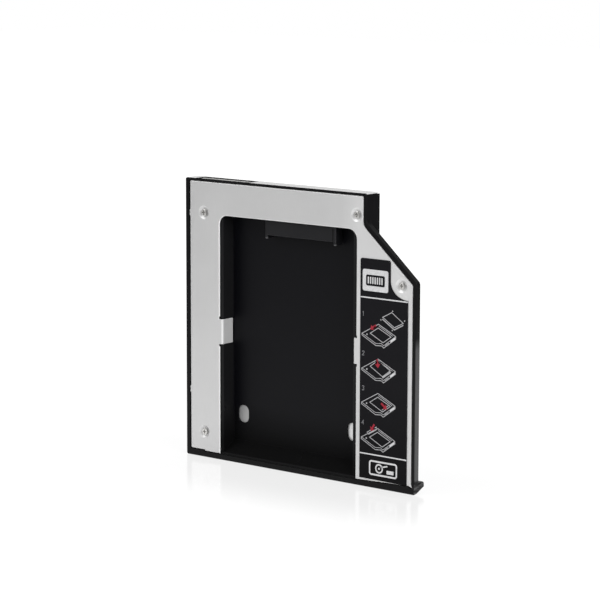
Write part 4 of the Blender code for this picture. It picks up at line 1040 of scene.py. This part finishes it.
def floor_look():
    material = bpy.data.materials.new("floor_look")
    material.use_nodes = True
    tree = material.node_tree
    tree.nodes.clear()
    out = tree.nodes.new("ShaderNodeOutputMaterial")
    path = add(tree, "ShaderNodeLightPath", {})
    from_camera = path.outputs["Is Camera Ray"]
    seen = maths(tree, "MAXIMUM", from_camera, seen_in_mirrors(tree, path))
    where = add(tree, "ShaderNodeTexCoord", {}).outputs["Object"]
    x, y = parts_of(tree, where)[:2]
    away = length_of(tree, past(tree, x, HALF_WIDTH), past(tree, y, HALF_THICKNESS))
    fade = {0: away, 1: FADE_START, 2: FADE_END, 3: REFLECTION, 4: 0.0}
    mirror = add(tree, "ShaderNodeMapRange", fade, interpolation_type="SMOOTHSTEP").outputs[0]
    direction = vector_maths(tree, "NORMALIZE", {0: where}).outputs["Vector"]
    far_level = maths(tree, "MAXIMUM", studio_level(tree, direction), from_camera)
    distance = vector_maths(tree, "LENGTH", {0: where}).outputs["Value"]
    far = ramp(tree, distance, FAR_START, FAR_FULL)
    level = plus(tree, times(tree, far_level, far), minus(tree, 1.0, far))
    strength = times(tree, level, share(tree, far, PAPER_GLOW, PAPER_GLOW + FAR_GLOW))
    glow = add(tree, "ShaderNodeEmission", {"Color": WHITE, "Strength": strength})
    lit = add(tree, "ShaderNodeBsdfDiffuse", {"Color": times(tree, level, PAPER)})
    paper = add(tree, "ShaderNodeAddShader", {0: glow.outputs[0], 1: lit.outputs[0]})
    gloss = add(tree, "ShaderNodeBsdfGlossy", {"Color": WHITE, "Roughness": REFLECTION_ROUGHNESS})
    shown = add(tree, "ShaderNodeMixShader", {0: mirror, 1: paper.outputs[0], 2: gloss.outputs[0]})
    bounce = add(tree, "ShaderNodeBsdfDiffuse", {"Color": grey(PAPER_BOUNCE)})
    final = add(tree, "ShaderNodeMixShader", {0: seen, 1: bounce.outputs[0], 2: shown.outputs[0]})
    tree.links.new(final.outputs[0], out.inputs["Surface"])
    return material


def make_floor():
    mesh = bpy.data.meshes.new("floor")
    work = bmesh.new()
    corners = []
    for x, y in ((-1, -1), (1, -1), (1, 1), (-1, 1)):
        corners.append(work.verts.new((x * FLOOR_REACH, y * FLOOR_REACH, -FLOOR_DROP)))
    work.faces.new(corners)
    work.to_mesh(mesh)
    work.free()
    floor = bpy.data.objects.new("floor", mesh)
    bpy.context.scene.collection.objects.link(floor)
    floor.data.materials.append(floor_look())


make_floor()


# Studio light

FILL_LIGHT = 0.7
LIGHT_AIM = (0.0, 0.0, 0.06)


def make_world():
    """White to the camera, the studio in reflections, and an even fill for all other light."""
    world = bpy.data.worlds.new("studio")
    bpy.context.scene.world = world
    world.use_nodes = True
    tree = world.node_tree
    tree.nodes.clear()
    out = tree.nodes.new("ShaderNodeOutputWorld")
    path = add(tree, "ShaderNodeLightPath", {})
    direction = own_box(tree)
    level = studio_level(tree, direction)
    shown = add(tree, "ShaderNodeBackground", {"Color": WHITE, "Strength": 1.0}).outputs[0]
    room = add(tree, "ShaderNodeBackground", {"Color": WHITE, "Strength": level}).outputs[0]
    fill = add(tree, "ShaderNodeBackground", {"Color": WHITE, "Strength": FILL_LIGHT}).outputs[0]
    inside = add(tree, "ShaderNodeMixShader", {0: seen_in_mirrors(tree, path), 1: fill, 2: room}).outputs[0]
    final = add(tree, "ShaderNodeMixShader", {0: path.outputs["Is Camera Ray"], 1: inside, 2: shown})
    tree.links.new(final.outputs[0], out.inputs["Surface"])


def softbox(name, where, width, height, power):
    data = bpy.data.lights.new(name, "AREA")
    data.shape = "RECTANGLE"
    data.size = width
    data.size_y = height
    data.energy = power
    lamp = bpy.data.objects.new(name, data)
    lamp.location = where
    lamp.rotation_mode = "QUATERNION"
    lamp.rotation_quaternion = (Vector(LIGHT_AIM) - Vector(where)).to_track_quat("-Z", "Y")
    bpy.context.scene.collection.objects.link(lamp)


make_world()
softbox("key_light", where=(-0.55, -0.85, 0.85), width=0.7, height=0.7, power=4.4)
softbox("right_light", where=(0.95, -0.35, 0.5), width=0.5, height=0.6, power=7.2)
softbox("top_light", where=(0.0, 0.15, 1.0), width=0.8, height=0.5, power=2.2)


# Camera

EYE = Vector((0.65292, -0.81492, 0.24203))
RIGHT = Vector((0.77921, 0.62675, 0.00257))
UP = Vector((-0.10012, 0.12041, 0.98766))
BACK = RIGHT.cross(UP).normalized()
LENS = 145.878
SENSOR = 36.0
NEAREST = 0.05
FARTHEST = 20.0

camera_data = bpy.data.cameras.new("camera")
camera_data.lens = LENS
camera_data.sensor_width = SENSOR
camera_data.clip_start = NEAREST
camera_data.clip_end = FARTHEST
camera = bpy.data.objects.new("camera", camera_data)
bpy.context.scene.collection.objects.link(camera)
turn = Matrix((RIGHT.normalized(), UP.normalized(), BACK)).transposed().to_4x4()
camera.matrix_world = Matrix.Translation(EYE) @ turn
bpy.context.scene.camera = camera

bpy.context.scene.view_settings.view_transform = "Standard"
